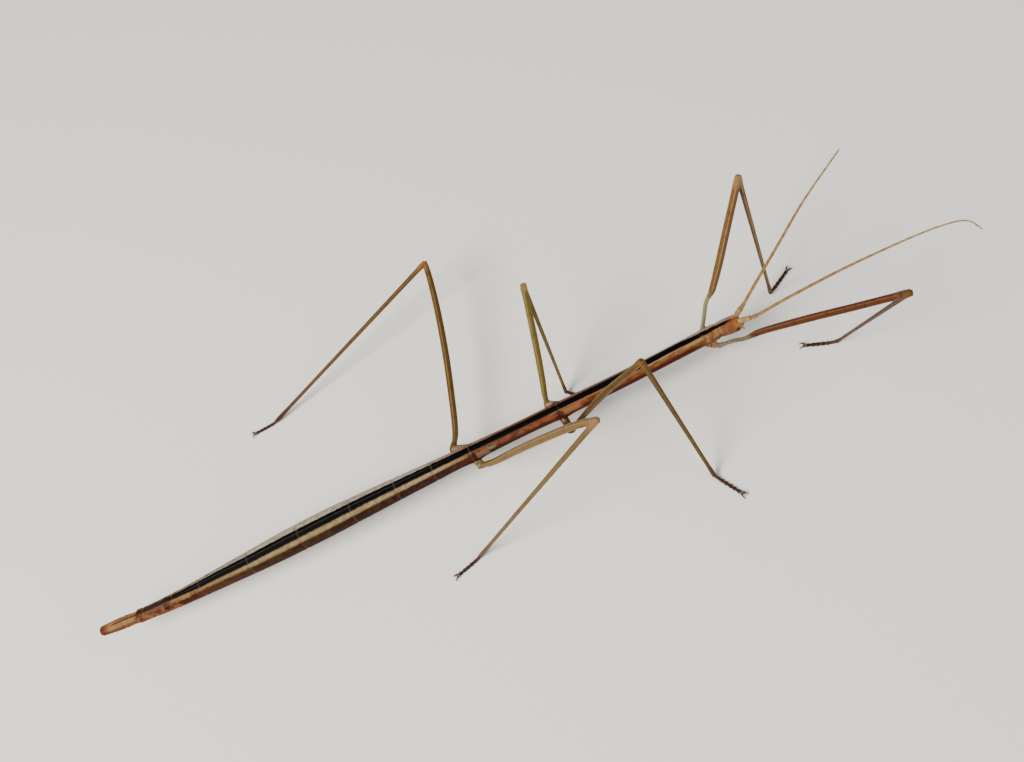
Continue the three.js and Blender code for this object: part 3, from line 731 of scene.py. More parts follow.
def newGroup(name, inputs, outputs):
    group = bpy.data.node_groups.new(name, "ShaderNodeTree")
    for labels, way in ((inputs, "INPUT"), (outputs, "OUTPUT")):
        for label in labels:
            kind = "NodeSocketVector" if label in vectorSockets else "NodeSocketFloat"
            group.interface.new_socket(name=label, in_out=way, socket_type=kind)
    return group, group.nodes.new("NodeGroupInput").outputs, group.nodes.new("NodeGroupOutput").inputs


# 1 between two edges, with soft sides
def makeSoftBand():
    group, given, made = newGroup("softBand", ["Value", "From", "To", "Softness"], ["Mask"])
    sides = []
    for start, end in (("From", "Value"), ("Value", "To")):
        inside = sums(group, "SUBTRACT", given[end], given[start])
        sides.append(sums(group, "ADD", sums(group, "DIVIDE", inside, given["Softness"]), 0.5, clamp=True))
    link(group, times(group, *sides), made["Mask"])
    return group


# where a point lies on its length: how far along, degrees from the top with the right side plus, and a
# vector that is stretched along it
placePlan = {"waverScale": 2.2, "alongFlow": 0.35, "roundFlow": 4.0}


def makeSkinPlace():
    plan = placePlan
    group, given, made = newGroup("skinPlace", ["Waver"], ["Along", "Angle", "Side", "Flow", "Millimetres"])
    parts = group.nodes.new("ShaderNodeSeparateXYZ")
    link(group, meshValue(group, "skinPlace", "Vector"), parts.inputs[0])
    along, right, up = parts.outputs
    millimetres = millimetresOf(group)
    wobble = sums(group, "SUBTRACT", noiseOf(group, millimetres, plan["waverScale"], 2.0), 0.5)
    turn = times(group, sums(group, "ARCTAN2", right, up), math.degrees(1))
    angle = sums(group, "ADD", turn, times(group, wobble, given["Waver"]))
    flow = group.nodes.new("ShaderNodeCombineXYZ")
    for socket, value, key in zip(flow.inputs, (along, right, up), ("alongFlow", "roundFlow", "roundFlow")):
        link(group, times(group, value, plan[key]), socket)
    link(group, along, made["Along"])
    link(group, angle, made["Angle"])
    link(group, sums(group, "ABSOLUTE", angle), made["Side"])
    link(group, flow.outputs[0], made["Flow"])
    link(group, millimetres, made["Millimetres"])
    return group


# fine grain of the hard skin: streaks that run along, granules, and their height
grainPlan = {"streakScale": 3.2, "mottleScale": 1.5, "fineScale": 9.0, "fineHeight": 0.4,
             "grainScale": 7.0, "grainFall": 1.6, "grainHeight": 0.45}


def makeShellGrain():
    plan = grainPlan
    group, given, made = newGroup("shellGrain", ["Flow", "Millimetres", "Streak"],
                                  ["Streaks", "Mottle", "Height"])
    streaks = noiseOf(group, given["Flow"], plan["streakScale"], 4.0, 0.6)
    mottle = noiseOf(group, given["Millimetres"], plan["mottleScale"], 4.0, 0.6)
    fine = noiseOf(group, given["Millimetres"], plan["fineScale"], 3.0, 0.6)
    cells = cellsOf(group, given["Millimetres"], plan["grainScale"])
    dots = sums(group, "SUBTRACT", 1.0, times(group, cells, plan["grainFall"]), clamp=True)
    height = times(group, dots, plan["grainHeight"])
    height = sums(group, "ADD", height, times(group, fine, plan["fineHeight"]))
    height = sums(group, "ADD", height, times(group, streaks, given["Streak"]))
    link(group, streaks, made["Streaks"])
    link(group, mottle, made["Mottle"])
    link(group, height, made["Height"])
    return group


groups = {"softBand": makeSoftBand(), "skinPlace": makeSkinPlace(), "shellGrain": makeShellGrain()}


def useGroup(tree, name, **values):
    node = tree.nodes.new("ShaderNodeGroup")
    node.node_tree = groups[name]
    for label, value in values.items():
        feed(tree, node.inputs[label], value)
    return node.outputs


def softBand(tree, value, low, high, softness):
    return useGroup(tree, "softBand", Value=value, From=low, To=high, Softness=softness)["Mask"]


# 1 where a value is past an edge
def above(tree, value, edge, softness):
    return softBand(tree, value, edge, 500.0, softness)


# 1 where a value is short of an edge
def below(tree, value, edge, softness):
    return softBand(tree, value, -50.0, edge, softness)


def newFinish(name, roughness=0.5, coat=0.0, shine=0.2):
    material = bpy.data.materials.new(name)
    material.use_nodes = True
    tree = material.node_tree
    surface = next(n for n in tree.nodes if n.type == "BSDF_PRINCIPLED")
    surface.inputs["Roughness"].default_value = roughness
    surface.inputs["Coat Weight"].default_value = coat
    surface.inputs["Specular IOR Level"].default_value = shine
    return material, tree, surface


# where a point lies on the skin, and the grain there
def readSkin(tree, waver, streak):
    place = useGroup(tree, "skinPlace", Waver=waver)
    grain = useGroup(tree, "shellGrain", Flow=place["Flow"], Millimetres=place["Millimetres"], Streak=streak)
    return place, grain


def bumped(tree, surface, height, distance, strength=0.6):
    bump = tree.nodes.new("ShaderNodeBump")
    bump.inputs["Distance"].default_value = distance / 1000
    bump.inputs["Strength"].default_value = strength
    link(tree, height, bump.inputs["Height"])
    link(tree, bump.outputs["Normal"], surface.inputs["Normal"])


# roughness that follows a noise: at least the base, and up to the spread more
def roughened(tree, surface, noise, spread, base):
    link(tree, sums(tree, "ADD", times(tree, noise, spread), base), surface.inputs["Roughness"])


# ramps run up the body from the tail tip in millimetres
trunkLooks = {
    "tones": {
        "black": [(0, "#6b3a20"), (2.5, "#5c3520"), (4.9, "#4a2c1c"), (5.4, "#3a2014"), (6.6, "#2e221e"),
                  (8.8, "#2a201c"), (10, "#100908"), (11, "#060404"), (50, "#020202"), (78, "#030202"),
                  (80.6, "#0a0503"), (82, "#140a05"), (82.6, "#2c150a"), (83.1, "#7c4520"),
                  (84, "#8c5428")],
        # the near side's pale band; from 66 to 78 mm it is lightened with a painted highlight
        "pale": [(0, "#6b3c24"), (1.6, "#8b6c41"), (4.6, "#917148"), (5.4, "#5f3a26"), (9, "#5a3624"),
                 (11, "#664a2c"), (15, "#75603c"), (22, "#857b54"), (40, "#8c8060"), (46, "#8f8262"),
                 (49.5, "#7f6240"), (50.6, "#463628"), (56, "#4c3e2c"), (58, "#603b26"), (62, "#7c5436"),
                 (66, "#87593a"), (72, "#966e40"), (78, "#9c7a4a"), (80.2, "#8f6244"), (84, "#936244")],
        # the far side's pale band, paled with painted rim light
        "paleFarRimLit": [(0, "#835230"), (1.6, "#8f6238"), (4.9, "#8c6038"), (5.5, "#4a2c20"), (9, "#5f483c"),
                    (14, "#85796a"), (24, "#a19d89"), (44, "#a59c8c"), (49, "#8f6d62"), (56, "#6c4942"),
                    (62, "#66453d"), (71, "#704f47"), (74, "#94887c"), (78, "#a49688"), (80, "#a08a7a"),
                    (82, "#a08270"), (84, "#96725c")],
        # the flank's own tones, darkened partly with painted shade
        "flank": [(0, "#744226"), (1.6, "#7d5638"), (4.6, "#7f5336"), (5.4, "#663c24"), (8, "#5f3826"),
                  (13, "#4e2e1e"), (17, "#40281a"), (23, "#281a11"), (32, "#241a0e"), (42, "#24120e"),
                  (47, "#311714"), (50, "#462318"), (52, "#4f3726"), (56, "#553a29"), (58, "#623720"),
                  (62, "#6c4128"), (66, "#724220"), (72, "#80502a"), (77, "#946f40"), (80, "#85583a"),
                  (84, "#845638")],
        # the low side: its own dark edge, deepened with painted shade
        "low": [(0, "#6c3f22"), (9, "#57301d"), (15, "#3a2218"), (24, "#1a0e0a"), (45, "#130a08"),
                (50, "#2a100b"), (62, "#42160c"), (78, "#451c0f"), (79.8, "#6e4830"), (84, "#84583c")],
        "belly": [(0, "#744826"), (15, "#5c4026"), (45, "#543a26"), (78, "#5f3f26"), (84, "#745034")],
    },
    # where a band ends, in hundreds of degrees from the top of the back
    "edges": {
        "blackEdge": [(0, 0.0), (2.2, 0.01), (5.0, 0.04), (5.6, 0.09), (8.2, 0.09), (9.6, 0.08),
                      (12, 0.15), (14.5, 0.21), (30, 0.185), (46, 0.2), (62, 0.205), (76, 0.235),
                      (78.4, 0.3), (79.1, 0.25), (79.8, 0.3), (80.7, 0.28), (82, 0.23), (82.6, 0.19),
                      (84, 0.08)],
        "blackFar": [(0, 0.0), (2.2, 0.01), (5.0, 0.1), (5.6, 0.3), (9, 0.27), (15, 0.21), (30, 0.185),
                     (46, 0.2), (62, 0.205), (68, 0.25), (75, 0.25), (77.3, 0.19), (78.4, 0.08),
                     (79.8, 0.03), (82, 0.03), (84, 0.01)],
        "paleRight": [(0, 0.46), (4.6, 0.46), (5.6, 0.24), (9, 0.28), (12, 0.4), (30, 0.41), (44, 0.43),
                      (49.8, 0.42), (51, 0.3), (62, 0.3), (76, 0.34), (80, 0.2), (84, 0.1)],
        # the far side's pale band reaches further down, widened by painted rim light
        "paleLeftRimLit": [(0, 0.5), (10, 0.42), (15, 0.56), (30, 0.68), (45, 0.62), (60, 0.58), (78, 0.55),
                     (84, 0.5)],
        "lowDarkAndShadeEdge": [(0, 0.86), (48, 0.84), (52, 0.64), (78, 0.62), (80, 0.8), (84, 0.84)],
    },
    # speckles: a noise, three ranges (of the noise, the stretch and the degrees from the top, each with its
    # from, to and softness), tone and share
    "flankSpeckles": [
        ("Streaks", (0.51, 2.0, 0.14), None, None, "#3a180b", 0.7),
        ("Mottle", (0.53, 2.0, 0.1), (50.4, 79.2, 1.0), None, "#80351a", 0.6),
        ("Streaks", (-1.0, 0.46, 0.1), (50.4, 79.2, 1.0), None, "#826243", 0.45),
        ("Mottle", (-1.0, 0.43, 0.06), (51.0, 68.0, 3.0), None, "#481a10", 0.6),
        ("Mottle", (0.53, 2.0, 0.06), (13.0, 50.0, 3.0), None, "#5e4628", 0.18)],
    "paleSpeckles": [
        ("Streaks", (0.55, 2.0, 0.1), None, None, "#6a4a26", 0.45),
        ("Mottle", (0.52, 2.0, 0.12), None, None, "#6e4e30", 0.35)],
    "hindSpeckles": [
        ("Mottle", (0.55, 2.0, 0.06), (5.0, 16.0, 1.0), (30.0, 120.0, 12.0), "#3a180c", 0.6),
        ("Mottle", (-1.0, 0.46, 0.08), (3.5, 11.5, 0.8), (26.0, 110.0, 10.0), "#8e5a30", 0.45)],
    "headSpeckles": [("Mottle", (0.5, 2.0, 0.2), None, None, "#5c3420", 0.45)],
    "patches": [  # along from and to, degrees from the top from and to, tone, share
        (5.2, 5.7, -40, 34, "#2c140b", 0.7), (8.9, 9.7, 14, 62, "#2e120a", 0.85),
        (9.9, 12.6, 10, 46, "#866a40", 0.5), (10.4, 13.6, 47, 84, "#3a150c", 0.8),
        (53.4, 60.6, 19, 27, "#4e1e10", 0.7), (0, 3.4, 64, 110, "#5e2c14", 0.7),
        (6.2, 7.6, 40, 80, "#8a5a30", 0.5), (50.2, 50.8, 26, 90, "#2c1209", 0.75),
        (50.9, 52.4, 44, 84, "#765a44", 0.7), (52.5, 53.3, 40, 62, "#737056", 0.55),
        (53.4, 55.6, 60, 92, "#33130a", 0.5), (61.1, 61.8, 24, 90, "#2a1009", 0.8),
        (62.0, 64.2, 36, 74, "#92683f", 0.6), (64.4, 66.6, 56, 84, "#38130a", 0.5),
        (72.6, 77.6, 23, 29, "#958b80", 0.65), (77.2, 79.3, 30, 52, "#9a8450", 0.7),
        (79.5, 80.1, 30, 90, "#a07a56", 0.6), (79.3, 79.5, 28, 100, "#5f3420", 0.7)],
    "headPatches": [
        (80.1, 80.35, 22, 100, "#55301e", 0.75), (80.5, 81.4, 14, 80, "#966a38", 0.75),
        (81.46, 81.6, 14, 84, "#ac9070", 0.35), (84.0, 85.6, 22, 60, "#a98a58", 0.75),
        (84.6, 86.0, 60, 110, "#a98f72", 0.7), (82.2, 82.9, 30, 52, "#6e442c", 0.4)],
    "headTones": [(0.0, "#795236"), (0.2, "#7d5638"), (0.44, "#785136"), (0.55, "#784d34"),
                  (0.75, "#805434"), (0.86, "#94622e"), (0.93, "#a67a42"), (1.0, "#a88458")],
    "headRun": (2.1, 4.9),  # the head's tones start this far behind the neck and run this far
}


def trunkFinish():
    looks = trunkLooks
    material, tree, surface = newFinish("cuticleTrunk", shine=0.05)
    place, grain = readSkin(tree, 7.0, 0.5)
    along, side, angle, mottle = place["Along"], place["Side"], place["Angle"], grain["Mottle"]
    isRight = sums(tree, "GREATER_THAN", angle, 0.0)
    bodyShare = sums(tree, "DIVIDE", along, wholeLength)

    def bodyRamp(stops):
        return toneRamp(tree, bodyShare, [(max(0.0, min(1.0, s / wholeLength)), value) for s, value in stops])

    def degreesOf(key):
        bare = tree.nodes.new("ShaderNodeSeparateColor")
        link(tree, bodyRamp(looks["edges"][key]), bare.inputs[0])
        return times(tree, bare.outputs[0], 100.0)

    def stretch(low, high, softness):
        return softBand(tree, along, low, high, softness)

    def speckled(key, colour):
        for noise, band, run, around, code, share in looks[key]:
            mask = softBand(tree, grain[noise], *band)
            if run:
                mask = times(tree, mask, stretch(*run))
            if around:
                mask = times(tree, mask, softBand(tree, side, *around))
            colour = cover(tree, mask, share, colour, code)
        return colour

    ragged = times(tree, sums(tree, "SUBTRACT", mottle, 0.5), 1.6)
    raggedAlong = sums(tree, "ADD", along, ragged)
    raggedSide = sums(tree, "ADD", side, times(tree, ragged, 9.0))

    def patched(key, colour):
        for start, end, low, high, code, share in looks[key]:
            patch = times(tree, softBand(tree, raggedAlong, start, end, 0.35),
                          softBand(tree, raggedSide, low, high, 7.0))
            colour = cover(tree, patch, share, colour, code)
        return colour

    tones = {key: bodyRamp(stops) for key, stops in looks["tones"].items()}
    blackEdge = degreesOf("blackEdge")
    paleEdge = blendValues(tree, isRight, degreesOf("paleLeftRimLit"), degreesOf("paleRight"))
    # the streaked flank and the dark band low on the side, each darkened partly with painted shade, and the
    # belly
    colour = speckled("flankSpeckles", tones["flank"])
    # the dark low band: partly the insect's dark lower edge, partly painted shade
    colour = blendTones(tree, above(tree, side, degreesOf("lowDarkAndShadeEdge"), 22.0), colour, tones["low"])
    colour = blendTones(tree, above(tree, side, 128.0, 16.0), colour, tones["belly"])
    # the pale bands beside the black one; the far one is paler and reaches further down with painted rim
    # light, and the near one is lightened towards the front of the chest with a painted highlight
    pale = speckled("paleSpeckles", blendTones(tree, isRight, tones["paleFarRimLit"], tones["pale"]))
    colour = blendTones(tree, below(tree, side, paleEdge, 11.0), colour, pale)
    underBlack = softBand(tree, side, 10.0, sums(tree, "ADD", blackEdge, 4.0), 5.0)
    colour = cover(tree, times(tree, underBlack, stretch(13.0, 50.0, 3.0), isRight), 0.8, colour, "#4c3420")
    colour = patched("patches", colour)
    # the black band, a grey line along its top on the abdomen that is a painted highlight, and the rings
    # where plates meet
    overBlack = below(tree, side, blendValues(tree, isRight, degreesOf("blackFar"), blackEdge), 3.0)
    colour = blendTones(tree, overBlack, colour, tones["black"])
    # painted highlight: a grey line beside the top of the black band
    midlineHighlight = times(tree, softBand(tree, angle, -4.0, 0.0, 2.5), stretch(10.0, 47.0, 5.0))
    colour = cover(tree, midlineHighlight, 0.6, colour, "#3c3a3e")
    ringTone = blendTones(tree, below(tree, side, paleEdge, 8.0), "#4a3022", "#7a5838")
    ringTone = blendTones(tree, overBlack, ringTone, "#38322f")
    ringShare = sums(tree, "ADD", times(tree, stretch(-9.0, 53.0, 6.0), 0.35), 0.15)
    ring = below(tree, meshValue(tree, "jointGap", "Fac"), 0.13, 0.1)
    colour = cover(tree, ring, ringShare, colour, ringTone)
    # the hind plates are blotched, and the last one has a groove and a dark rim
    colour = speckled("hindSpeckles", colour)
    groove = times(tree, softBand(tree, angle, -9.0, 4.0, 5.0), stretch(1.9, 4.9, 0.5))
    colour = cover(tree, groove, 0.85, colour, "#38241a")
    colour = cover(tree, stretch(-5.0, 1.1, 0.7), 0.85, colour, "#542814")
    # the head is plain on its near side, paler towards the face; its pinkish far edge is the far side's pale
    # band with its painted rim light
    behind, run = looks["headRun"]
    headShare = sums(tree, "DIVIDE", sums(tree, "SUBTRACT", along, bodyLength - behind), run)
    headTone = patched("headPatches", speckled("headSpeckles", toneRamp(tree, headShare, looks["headTones"])))
    nearSide = softBand(tree, angle, blackEdge, 150.0, 4.0)
    onHead = times(tree, above(tree, along, bodyLength - 1.2, 0.8), nearSide)
    colour = blendTones(tree, onHead, colour, headTone)
    colour = blendTones(tree, times(tree, mottle, 0.25), colour, "#7a4c2c", "MULTIPLY")
    link(tree, colour, surface.inputs["Base Color"])
    roughened(tree, surface, mottle, 0.2, sums(tree, "ADD", times(tree, overBlack, 0.2), 0.36))
    bumped(tree, surface, grain["Height"], 0.03)
    return material


# each leg's tones: coxa, thigh base, thigh, its light and dark lines, knee, shin and the shin's end
legLooks = {
    "front_left": ("#8f705a", "#858160", "#6e4e22", "#9a7850", "#40270f", "#8c6a3e", "#664a1e", "#4c3216"),
    "front_right": ("#84634a", "#777056", "#52290e", "#7f5030", "#220f06", "#5f4020", "#523a1a", "#3a2612"),
    "middle_left": ("#8f7258", "#6c6038", "#6a5a26", "#8a7a48", "#463810", "#8f7446", "#695224", "#4f3a1e"),
    "middle_right": ("#755438", "#32200d", "#523c16", "#6e5526", "#2e1e08", "#6a4c1e", "#5e451d", "#4c331a"),
    "hind_left": ("#806648", "#5c4820", "#5c421b", "#84683e", "#38240c", "#7f5a28", "#6e4e26", "#3c2018"),
    "hind_right": ("#80654a", "#6e5632", "#6e552a", "#8c7246", "#48341a", "#846640", "#755d36", "#57422a"),
}
coxaLooks = {"root": "#85583c", "spots": "#2a150c"}


def legFinish(name):
    coxaTone, baseTone, midTone, lightTone, darkTone, kneeTone, shinTone, endTone = legLooks[name]
    narrow = legPlan["baseShare"][name]
    material, tree, surface = newFinish("cuticleLeg_" + name, shine=0.12)
    place, grain = readSkin(tree, 12.0, 0.8)
    mottle = grain["Mottle"]
    # the places on coxa, thigh and shin run from 0 to 3
    along = sums(tree, "DIVIDE", place["Along"], 3.0)
    stops = [(0.0, coxaLooks["root"]), (0.4, coxaTone), (0.97, coxaTone), (0.99, darkTone), (1.01, baseTone),
             (1 + narrow * 0.9, baseTone), (1.04 + narrow, midTone), (1.93, midTone), (1.97, kneeTone),
             (2.03, kneeTone), (2.08, shinTone), (2.7, shinTone), (2.97, endTone)]
    colour = toneRamp(tree, along, [(spot / 3, code) for spot, code in stops])

    # pale lines on the leg's edges with darker ones beside them, and dark flecks that break them
    knee = softBand(tree, along, 1.96 / 3, 2.04 / 3, 0.01)
    onLength = softBand(tree, along, (1.02 + narrow) / 3, 2.9 / 3, 0.02)
    onLength = times(tree, onLength, sums(tree, "SUBTRACT", 1.0, knee))
    ridge = sums(tree, "COSINE", times(tree, place["Angle"], math.radians(legPlan["ridges"])))
    light = times(tree, softBand(tree, ridge, 0.62, 5.0, 0.5), onLength)
    dark = times(tree, softBand(tree, ridge, -0.35, 0.3, 0.4), onLength)
    underside = times(tree, above(tree, place["Side"], 105.0, 40.0), onLength)
    streak = above(tree, grain["Streaks"], 0.52, 0.16)
    spots = times(tree, above(tree, mottle, 0.54, 0.05), softBand(tree, along, 0.0, 0.7 / 3, 0.04))
    fleck = above(tree, mottle, 0.58, 0.06)
    layers = [(light, 0.75, lightTone), (dark, 0.55, darkTone), (underside, 0.4, darkTone),
              (streak, 0.4, darkTone), (spots, 0.8, coxaLooks["spots"]), (fleck, 0.45, darkTone)]
    for mask, share, code in layers:
        colour = cover(tree, mask, share, colour, code)
    link(tree, colour, surface.inputs["Base Color"])
    roughened(tree, surface, mottle, 0.25, 0.33)
    bumped(tree, surface, grain["Height"], 0.025)
    return material


# the remaining lengths: tones along the piece, as shares of its reach in millimetres or in leg parts
lengthLooks = {
    "tailScoop": {
        "reach": 9.0, "dark": "#3f1f10", "bump": 0.03,
        "stops": [(0, "#44200f"), (0.12, "#54290f"), (0.3, "#855630"), (0.7, "#744220"), (1, "#5c3018")],
    },
    "feelerSkin": {
        "reach": 26.0, "dark": "#5f3f1e", "bump": 0.012, "rings": 1.3, "under": "#a8946a",
        "stops": [(0, "#a2824c"), (0.045, "#9c8254"), (0.052, "#74502a"), (0.06, "#7c5a30"),
                  (0.07, "#8a6a3a"), (0.3, "#85602f"), (0.6, "#8a6c40"), (1, "#9a8860")],
    },
    "footSkin": {
        "reach": 4.0, "dark": "#180b06", "bump": 0.02,
        "stops": [(0, "#4c2e16"), (0.75, "#4c2e16"), (0.8, "#3a2010"), (0.9, "#30190d"), (1, "#22110b")],
    },
}


def lengthFinish(name):
    looks = lengthLooks[name]
    material, tree, surface = newFinish(name)
    place, grain = readSkin(tree, 10.0, 0.6)
    colour = toneRamp(tree, sums(tree, "DIVIDE", place["Along"], looks["reach"]), looks["stops"])
    if "rings" in looks:
        colour = cover(tree, above(tree, place["Side"], 70.0, 70.0), 0.5, colour, looks["under"])
        beat = sums(tree, "FRACT", sums(tree, "DIVIDE", place["Along"], looks["rings"]))
        colour = cover(tree, softBand(tree, beat, 0.36, 0.6, 0.24), 0.55, colour, looks["dark"])
    colour = cover(tree, above(tree, grain["Mottle"], 0.53, 0.12), 0.4, colour, looks["dark"])
    link(tree, colour, surface.inputs["Base Color"])
    roughened(tree, surface, grain["Streaks"], 0.3, 0.32)
    bumped(tree, surface, grain["Height"], looks["bump"])
    return material


hardLooks = {
    "clawHorn": {"tones": ("#3a2216", "#1c100b"), "rough": 0.28, "coat": 0.3, "bump": 0.006, "scale": 9.0},
    "clawPad": {"tones": ("#8a6a48", "#5e4229"), "rough": 0.6, "coat": 0.0, "bump": 0.01, "scale": 9.0},
    "jawShell": {"tones": ("#98754c", "#653f20"), "rough": 0.4, "coat": 0.1, "bump": 0.01, "scale": 5.0},
    "palpSkin": {"tones": ("#c4b088", "#a08458"), "rough": 0.5, "coat": 0.0, "bump": 0.006, "scale": 8.0},
}


def hardFinish(name):
    looks = hardLooks[name]
    material, tree, surface = newFinish(name, looks["rough"], looks["coat"])
    mottle = noiseOf(tree, millimetresOf(tree), looks["scale"], 3.0)
    colour = blendTones(tree, above(tree, mottle, 0.5, 0.25), *looks["tones"])
    link(tree, colour, surface.inputs["Base Color"])
    bumped(tree, surface, mottle, looks["bump"])
    return material


eyeLooks = {"ground": "#74390f", "bands": "#3e1c0b", "bandScale": 5.0, "facetEdges": "#2a130a",
            "facetScale": 24.0, "bump": 0.006}


def eyeFinish():
    looks = eyeLooks
    material, tree, surface = newFinish("eyeLens", 0.36, 0.06, 0.1)
    surface.inputs["Coat Roughness"].default_value = 0.08
    spot = millimetresOf(tree)
    facets = cellsOf(tree, spot, looks["facetScale"])
    bands = above(tree, noiseOf(tree, spot, looks["bandScale"], 2.0), 0.48, 0.2)
    colour = blendTones(tree, bands, looks["ground"], looks["bands"])
    colour = blendTones(tree, above(tree, facets, 0.5, 0.3), colour, looks["facetEdges"])
    link(tree, colour, surface.inputs["Base Color"])
    bumped(tree, surface, sums(tree, "SUBTRACT", 1.0, facets), looks["bump"], 0.35)
    return material


def addObject(name, data):
    made = bpy.data.objects.new(name, data)
    bpy.context.scene.collection.objects.link(made)
    return made


# puts a made skin into the scene as one piece
def placePiece(name, skin, finishes, replaced, sheetSize=None):
    mesh = bpy.data.meshes.new(name)
    mesh.from_pydata(toFrame(np.vstack(skin["points"])).tolist(), [], skin["faces"])
    mesh.polygons.foreach_set("material_index", np.concatenate(skin["finish"]))
    mesh.polygons.foreach_set("use_smooth", np.ones(len(mesh.polygons), bool))
    spot = mesh.attributes.new("skinPlace", "FLOAT_VECTOR", "POINT")
    spot.data.foreach_set("vector", np.vstack(skin["place"]).astype(np.float32).ravel())
    gap = mesh.attributes.new("jointGap", "FLOAT", "POINT")
    gap.data.foreach_set("value", np.concatenate(skin["joint"]).astype(np.float32))
    if sheetSize:
        layer = mesh.uv_layers.new(name="OFBake")
        uv = (np.vstack(skin["uv"]) + uvSheet["edge"]) / sheetSize
        layer.data.foreach_set("uv", uv.astype(np.float32).ravel())
    for finish in finishes:
        mesh.materials.append(finish)
    mesh.update()
    piece = addObject(name, mesh)
    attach(piece, "root")
    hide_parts(*replaced)


print("stage: skin")
skin = newSkin()
legNames = list(legPlan["legs"])
buildTrunk(skin)
footEnds = {}
for number, name in enumerate(legNames):
    footEnds[name] = buildLeg(skin, name, skinSlots["legs"] + number)
buildFeeler(skin, "left", 1)
buildFeeler(skin, "right", -1)
buildTailEnd(skin)
sheetSize = max(uvSheet["width"], uvSheet["y"] + uvSheet["row"]) + 4 * uvSheet["edge"]

print("stage: finishes")
skinFinishes = [trunkFinish()] + [lengthFinish(name) for name in lengthLooks]
skinFinishes += [legFinish(name) for name in legNames]
fleshNodes = [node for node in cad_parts
              if not node.startswith(("eye_", "mouthparts")) and not node.endswith("_claws")]
placePiece("insectSkin", skin, skinFinishes, fleshNodes, sheetSize)

print("stage: claws")
clawFinishes = [hardFinish("clawHorn"), hardFinish("clawPad")]
for name in legNames:
    placePiece(name + "_clawPair", buildClaws(*footEnds[name]), clawFinishes, [name + "_claws"])


def buildEye(side):
    ball = newSkin()
    centre = headPoint(*headSpot("eyes", side))
    bow = np.linspace(0.03, math.pi - 0.03, 30)
    marks = -headPlan["eyeRadius"] * np.cos(bow)
    radii = headPlan["eyeRadius"] * np.sin(bow)
    angles = ringAngles(40)
    middles = centre + marks[:, None] * headTurn[:, 2]
    headings = np.repeat(headTurn[:, 2][None], len(marks), 0)
    rings = sections(middles, headings, headTurn[:, 1], radii, radii * headPlan["eyeTall"], angles)
    addRings(ball, rings, angles, marks, 0)
    return ball


print("stage: eyes and mouth")
eyeLens = eyeFinish()
for name, side in (("left", 1), ("right", -1)):
    placePiece("eyeBall_" + name, buildEye(side), [eyeLens], ["eye_" + name])

# places on the head as in headPlan. A palp has a root, a bend, a tip and a radius
mouthPlan = {
    "jaws": {"from": (1.8, 0, -0.42), "to": (2.85, 0, -0.52), "flat": 0.8, "cleft": (-0.05, 9),
             "radii": [(0, 0.3), (0.25, 0.44), (0.6, 0.47), (0.85, 0.36), (1, 0.24)]},
    "lip": {"from": (2.45, 0, -0.12), "to": (2.86, 0, -0.42), "radius": 0.3, "flat": 0.45},
    "palps": [((2.5, 0.34, -0.62), (2.7, 0.46, -0.72), (2.76, 0.48, -0.94), 0.13),
              ((2.35, 0.14, -0.74), (2.54, 0.2, -0.92), (2.62, 0.2, -1.06), 0.1)],
    "palpRadii": [(0, 1), (0.3, 0.95), (0.36, 0.72), (0.45, 1), (0.66, 0.9), (0.71, 0.7), (0.82, 0.95),
                  (1, 0.75)],
}


def buildMouth():
    mouth = newSkin()
    acrossHead = headTurn[:, 1]
    jaws = mouthPlan["jaws"]
    way = Way([headPoint(*jaws["from"]), headPoint(*jaws["to"])])
    share = np.linspace(0, 1, 26)
    marks, radii = domed(share * way.length, smoothThrough(jaws["radii"], share), 0.6, 0.6)
    addTube(mouth, way, marks, radii, acrossHead, 28, 0, jaws["flat"], jaws["cleft"])
    lip = mouthPlan["lip"]
    way = Way([headPoint(*lip["from"]), headPoint(*lip["to"])])
    marks, radii = domed(np.linspace(0, way.length, 12), np.full(12, lip["radius"]), 0.5, 0.5)
    addTube(mouth, way, marks, radii, acrossHead, 28, 0, lip["flat"])
    share = np.linspace(0, 1, 30)
    for side in (1, -1):
        for root, bend, tip, radius in mouthPlan["palps"]:
            way = Way([headPoint(p[0], side * p[1], p[2]) for p in (root, bend, tip)])
            radii = radius * smoothThrough(mouthPlan["palpRadii"], share)
            marks, radii = domed(share * way.length, radii, 1, 1)
            addTube(mouth, way, marks, radii, acrossHead, 14, 1)
    return mouth


mouthFinishes = [hardFinish("jawShell"), hardFinish("palpSkin")]
placePiece("mouthPieces", buildMouth(), mouthFinishes, ["mouthparts"])

stagePlan = {"floorSize": 4.0, "floorTone": "#e6e2dc", "skyTone": (0.93, 0.96, 1.0, 1), "skyStrength": 0.3}


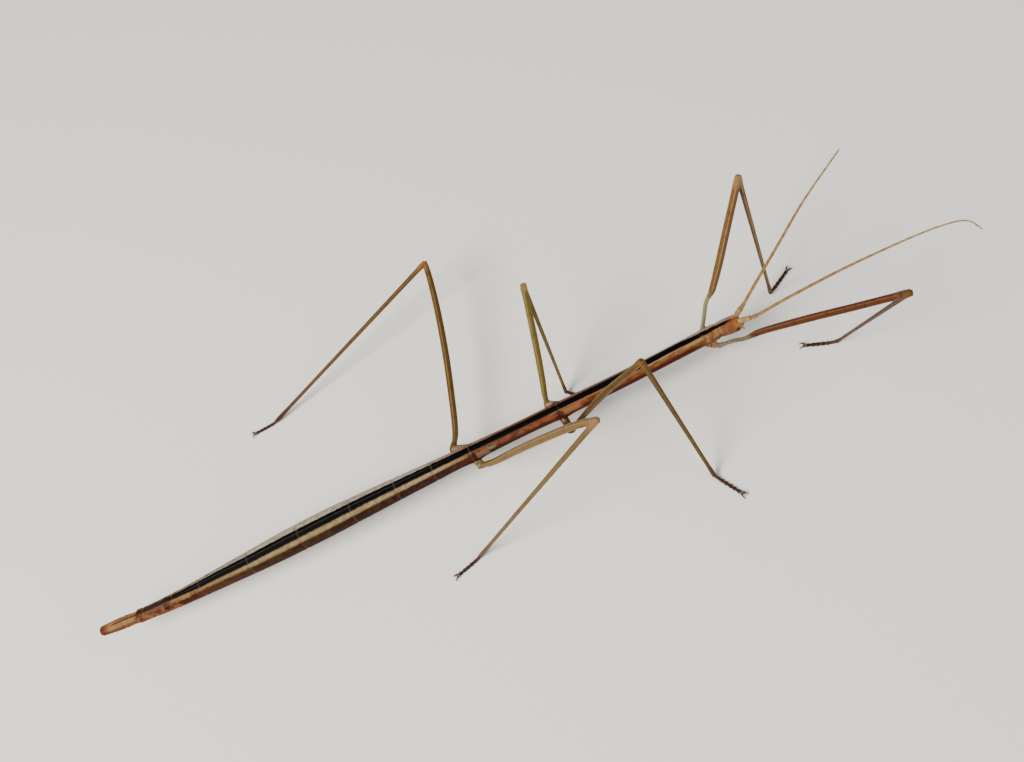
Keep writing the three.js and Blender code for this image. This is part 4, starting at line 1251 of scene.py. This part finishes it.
def buildStage():
    mesh = bpy.data.meshes.new("floor")
    half = stagePlan["floorSize"] / 2
    spots = [(-half, -half, 0), (half, -half, 0), (half, half, 0), (-half, half, 0)]
    mesh.from_pydata(spots, [], [(0, 1, 2, 3)])
    material, tree, surface = newFinish("floorPaint", 0.8)
    surface.inputs["Base Color"].default_value = tone(stagePlan["floorTone"])
    mesh.materials.append(material)
    floor = addObject("floor", mesh)
    world = bpy.data.worlds.new("softSky")
    world.use_nodes = True
    sky = next(n for n in world.node_tree.nodes if n.type == "BACKGROUND")
    sky.inputs["Color"].default_value = stagePlan["skyTone"]
    sky.inputs["Strength"].default_value = stagePlan["skyStrength"]
    bpy.context.scene.world = world


# metres from the middle of the stance, and watts
lampPlan = {
    "keyLamp": {"from": (-0.3, -0.12, 0.4), "size": 0.26, "power": 5.0, "tint": (1.0, 0.96, 0.9)},
    "fillLamp": {"from": (0.34, -0.2, 0.26), "size": 0.4, "power": 1.2, "tint": (0.92, 0.96, 1.0)},
}


def buildLamps():
    for name, plan in lampPlan.items():
        data = bpy.data.lights.new(name, "AREA")
        data.energy = plan["power"]
        data.size = plan["size"]
        data.color = plan["tint"]
        lamp = addObject(name, data)
        place = np.array(plan["from"])
        back = unit(place)
        across = unit(np.cross((0, 0, 1), back))
        turn = Matrix(np.column_stack([across, np.cross(back, across), back]).tolist())
        lamp.matrix_world = Matrix.Translation(place.tolist()) @ turn.to_4x4()


cameraPlan = {"at": (18.12, -38.95, 93.74), "turn": (22.478, 16.372, -21.436), "lens": 30.0, "sensor": 36.0,
              "clip": (0.002, 20.0)}


def buildCamera():
    data = bpy.data.cameras.new("camera")
    data.lens = cameraPlan["lens"]
    data.sensor_width = cameraPlan["sensor"]
    data.clip_start, data.clip_end = cameraPlan["clip"]
    camera = addObject("camera", data)
    camera.location = toFrame(cameraPlan["at"]).tolist()
    camera.rotation_euler = [math.radians(a) for a in cameraPlan["turn"]]
    bpy.context.scene.camera = camera


print("stage: floor, light and camera")
buildStage()
buildLamps()
buildCamera()
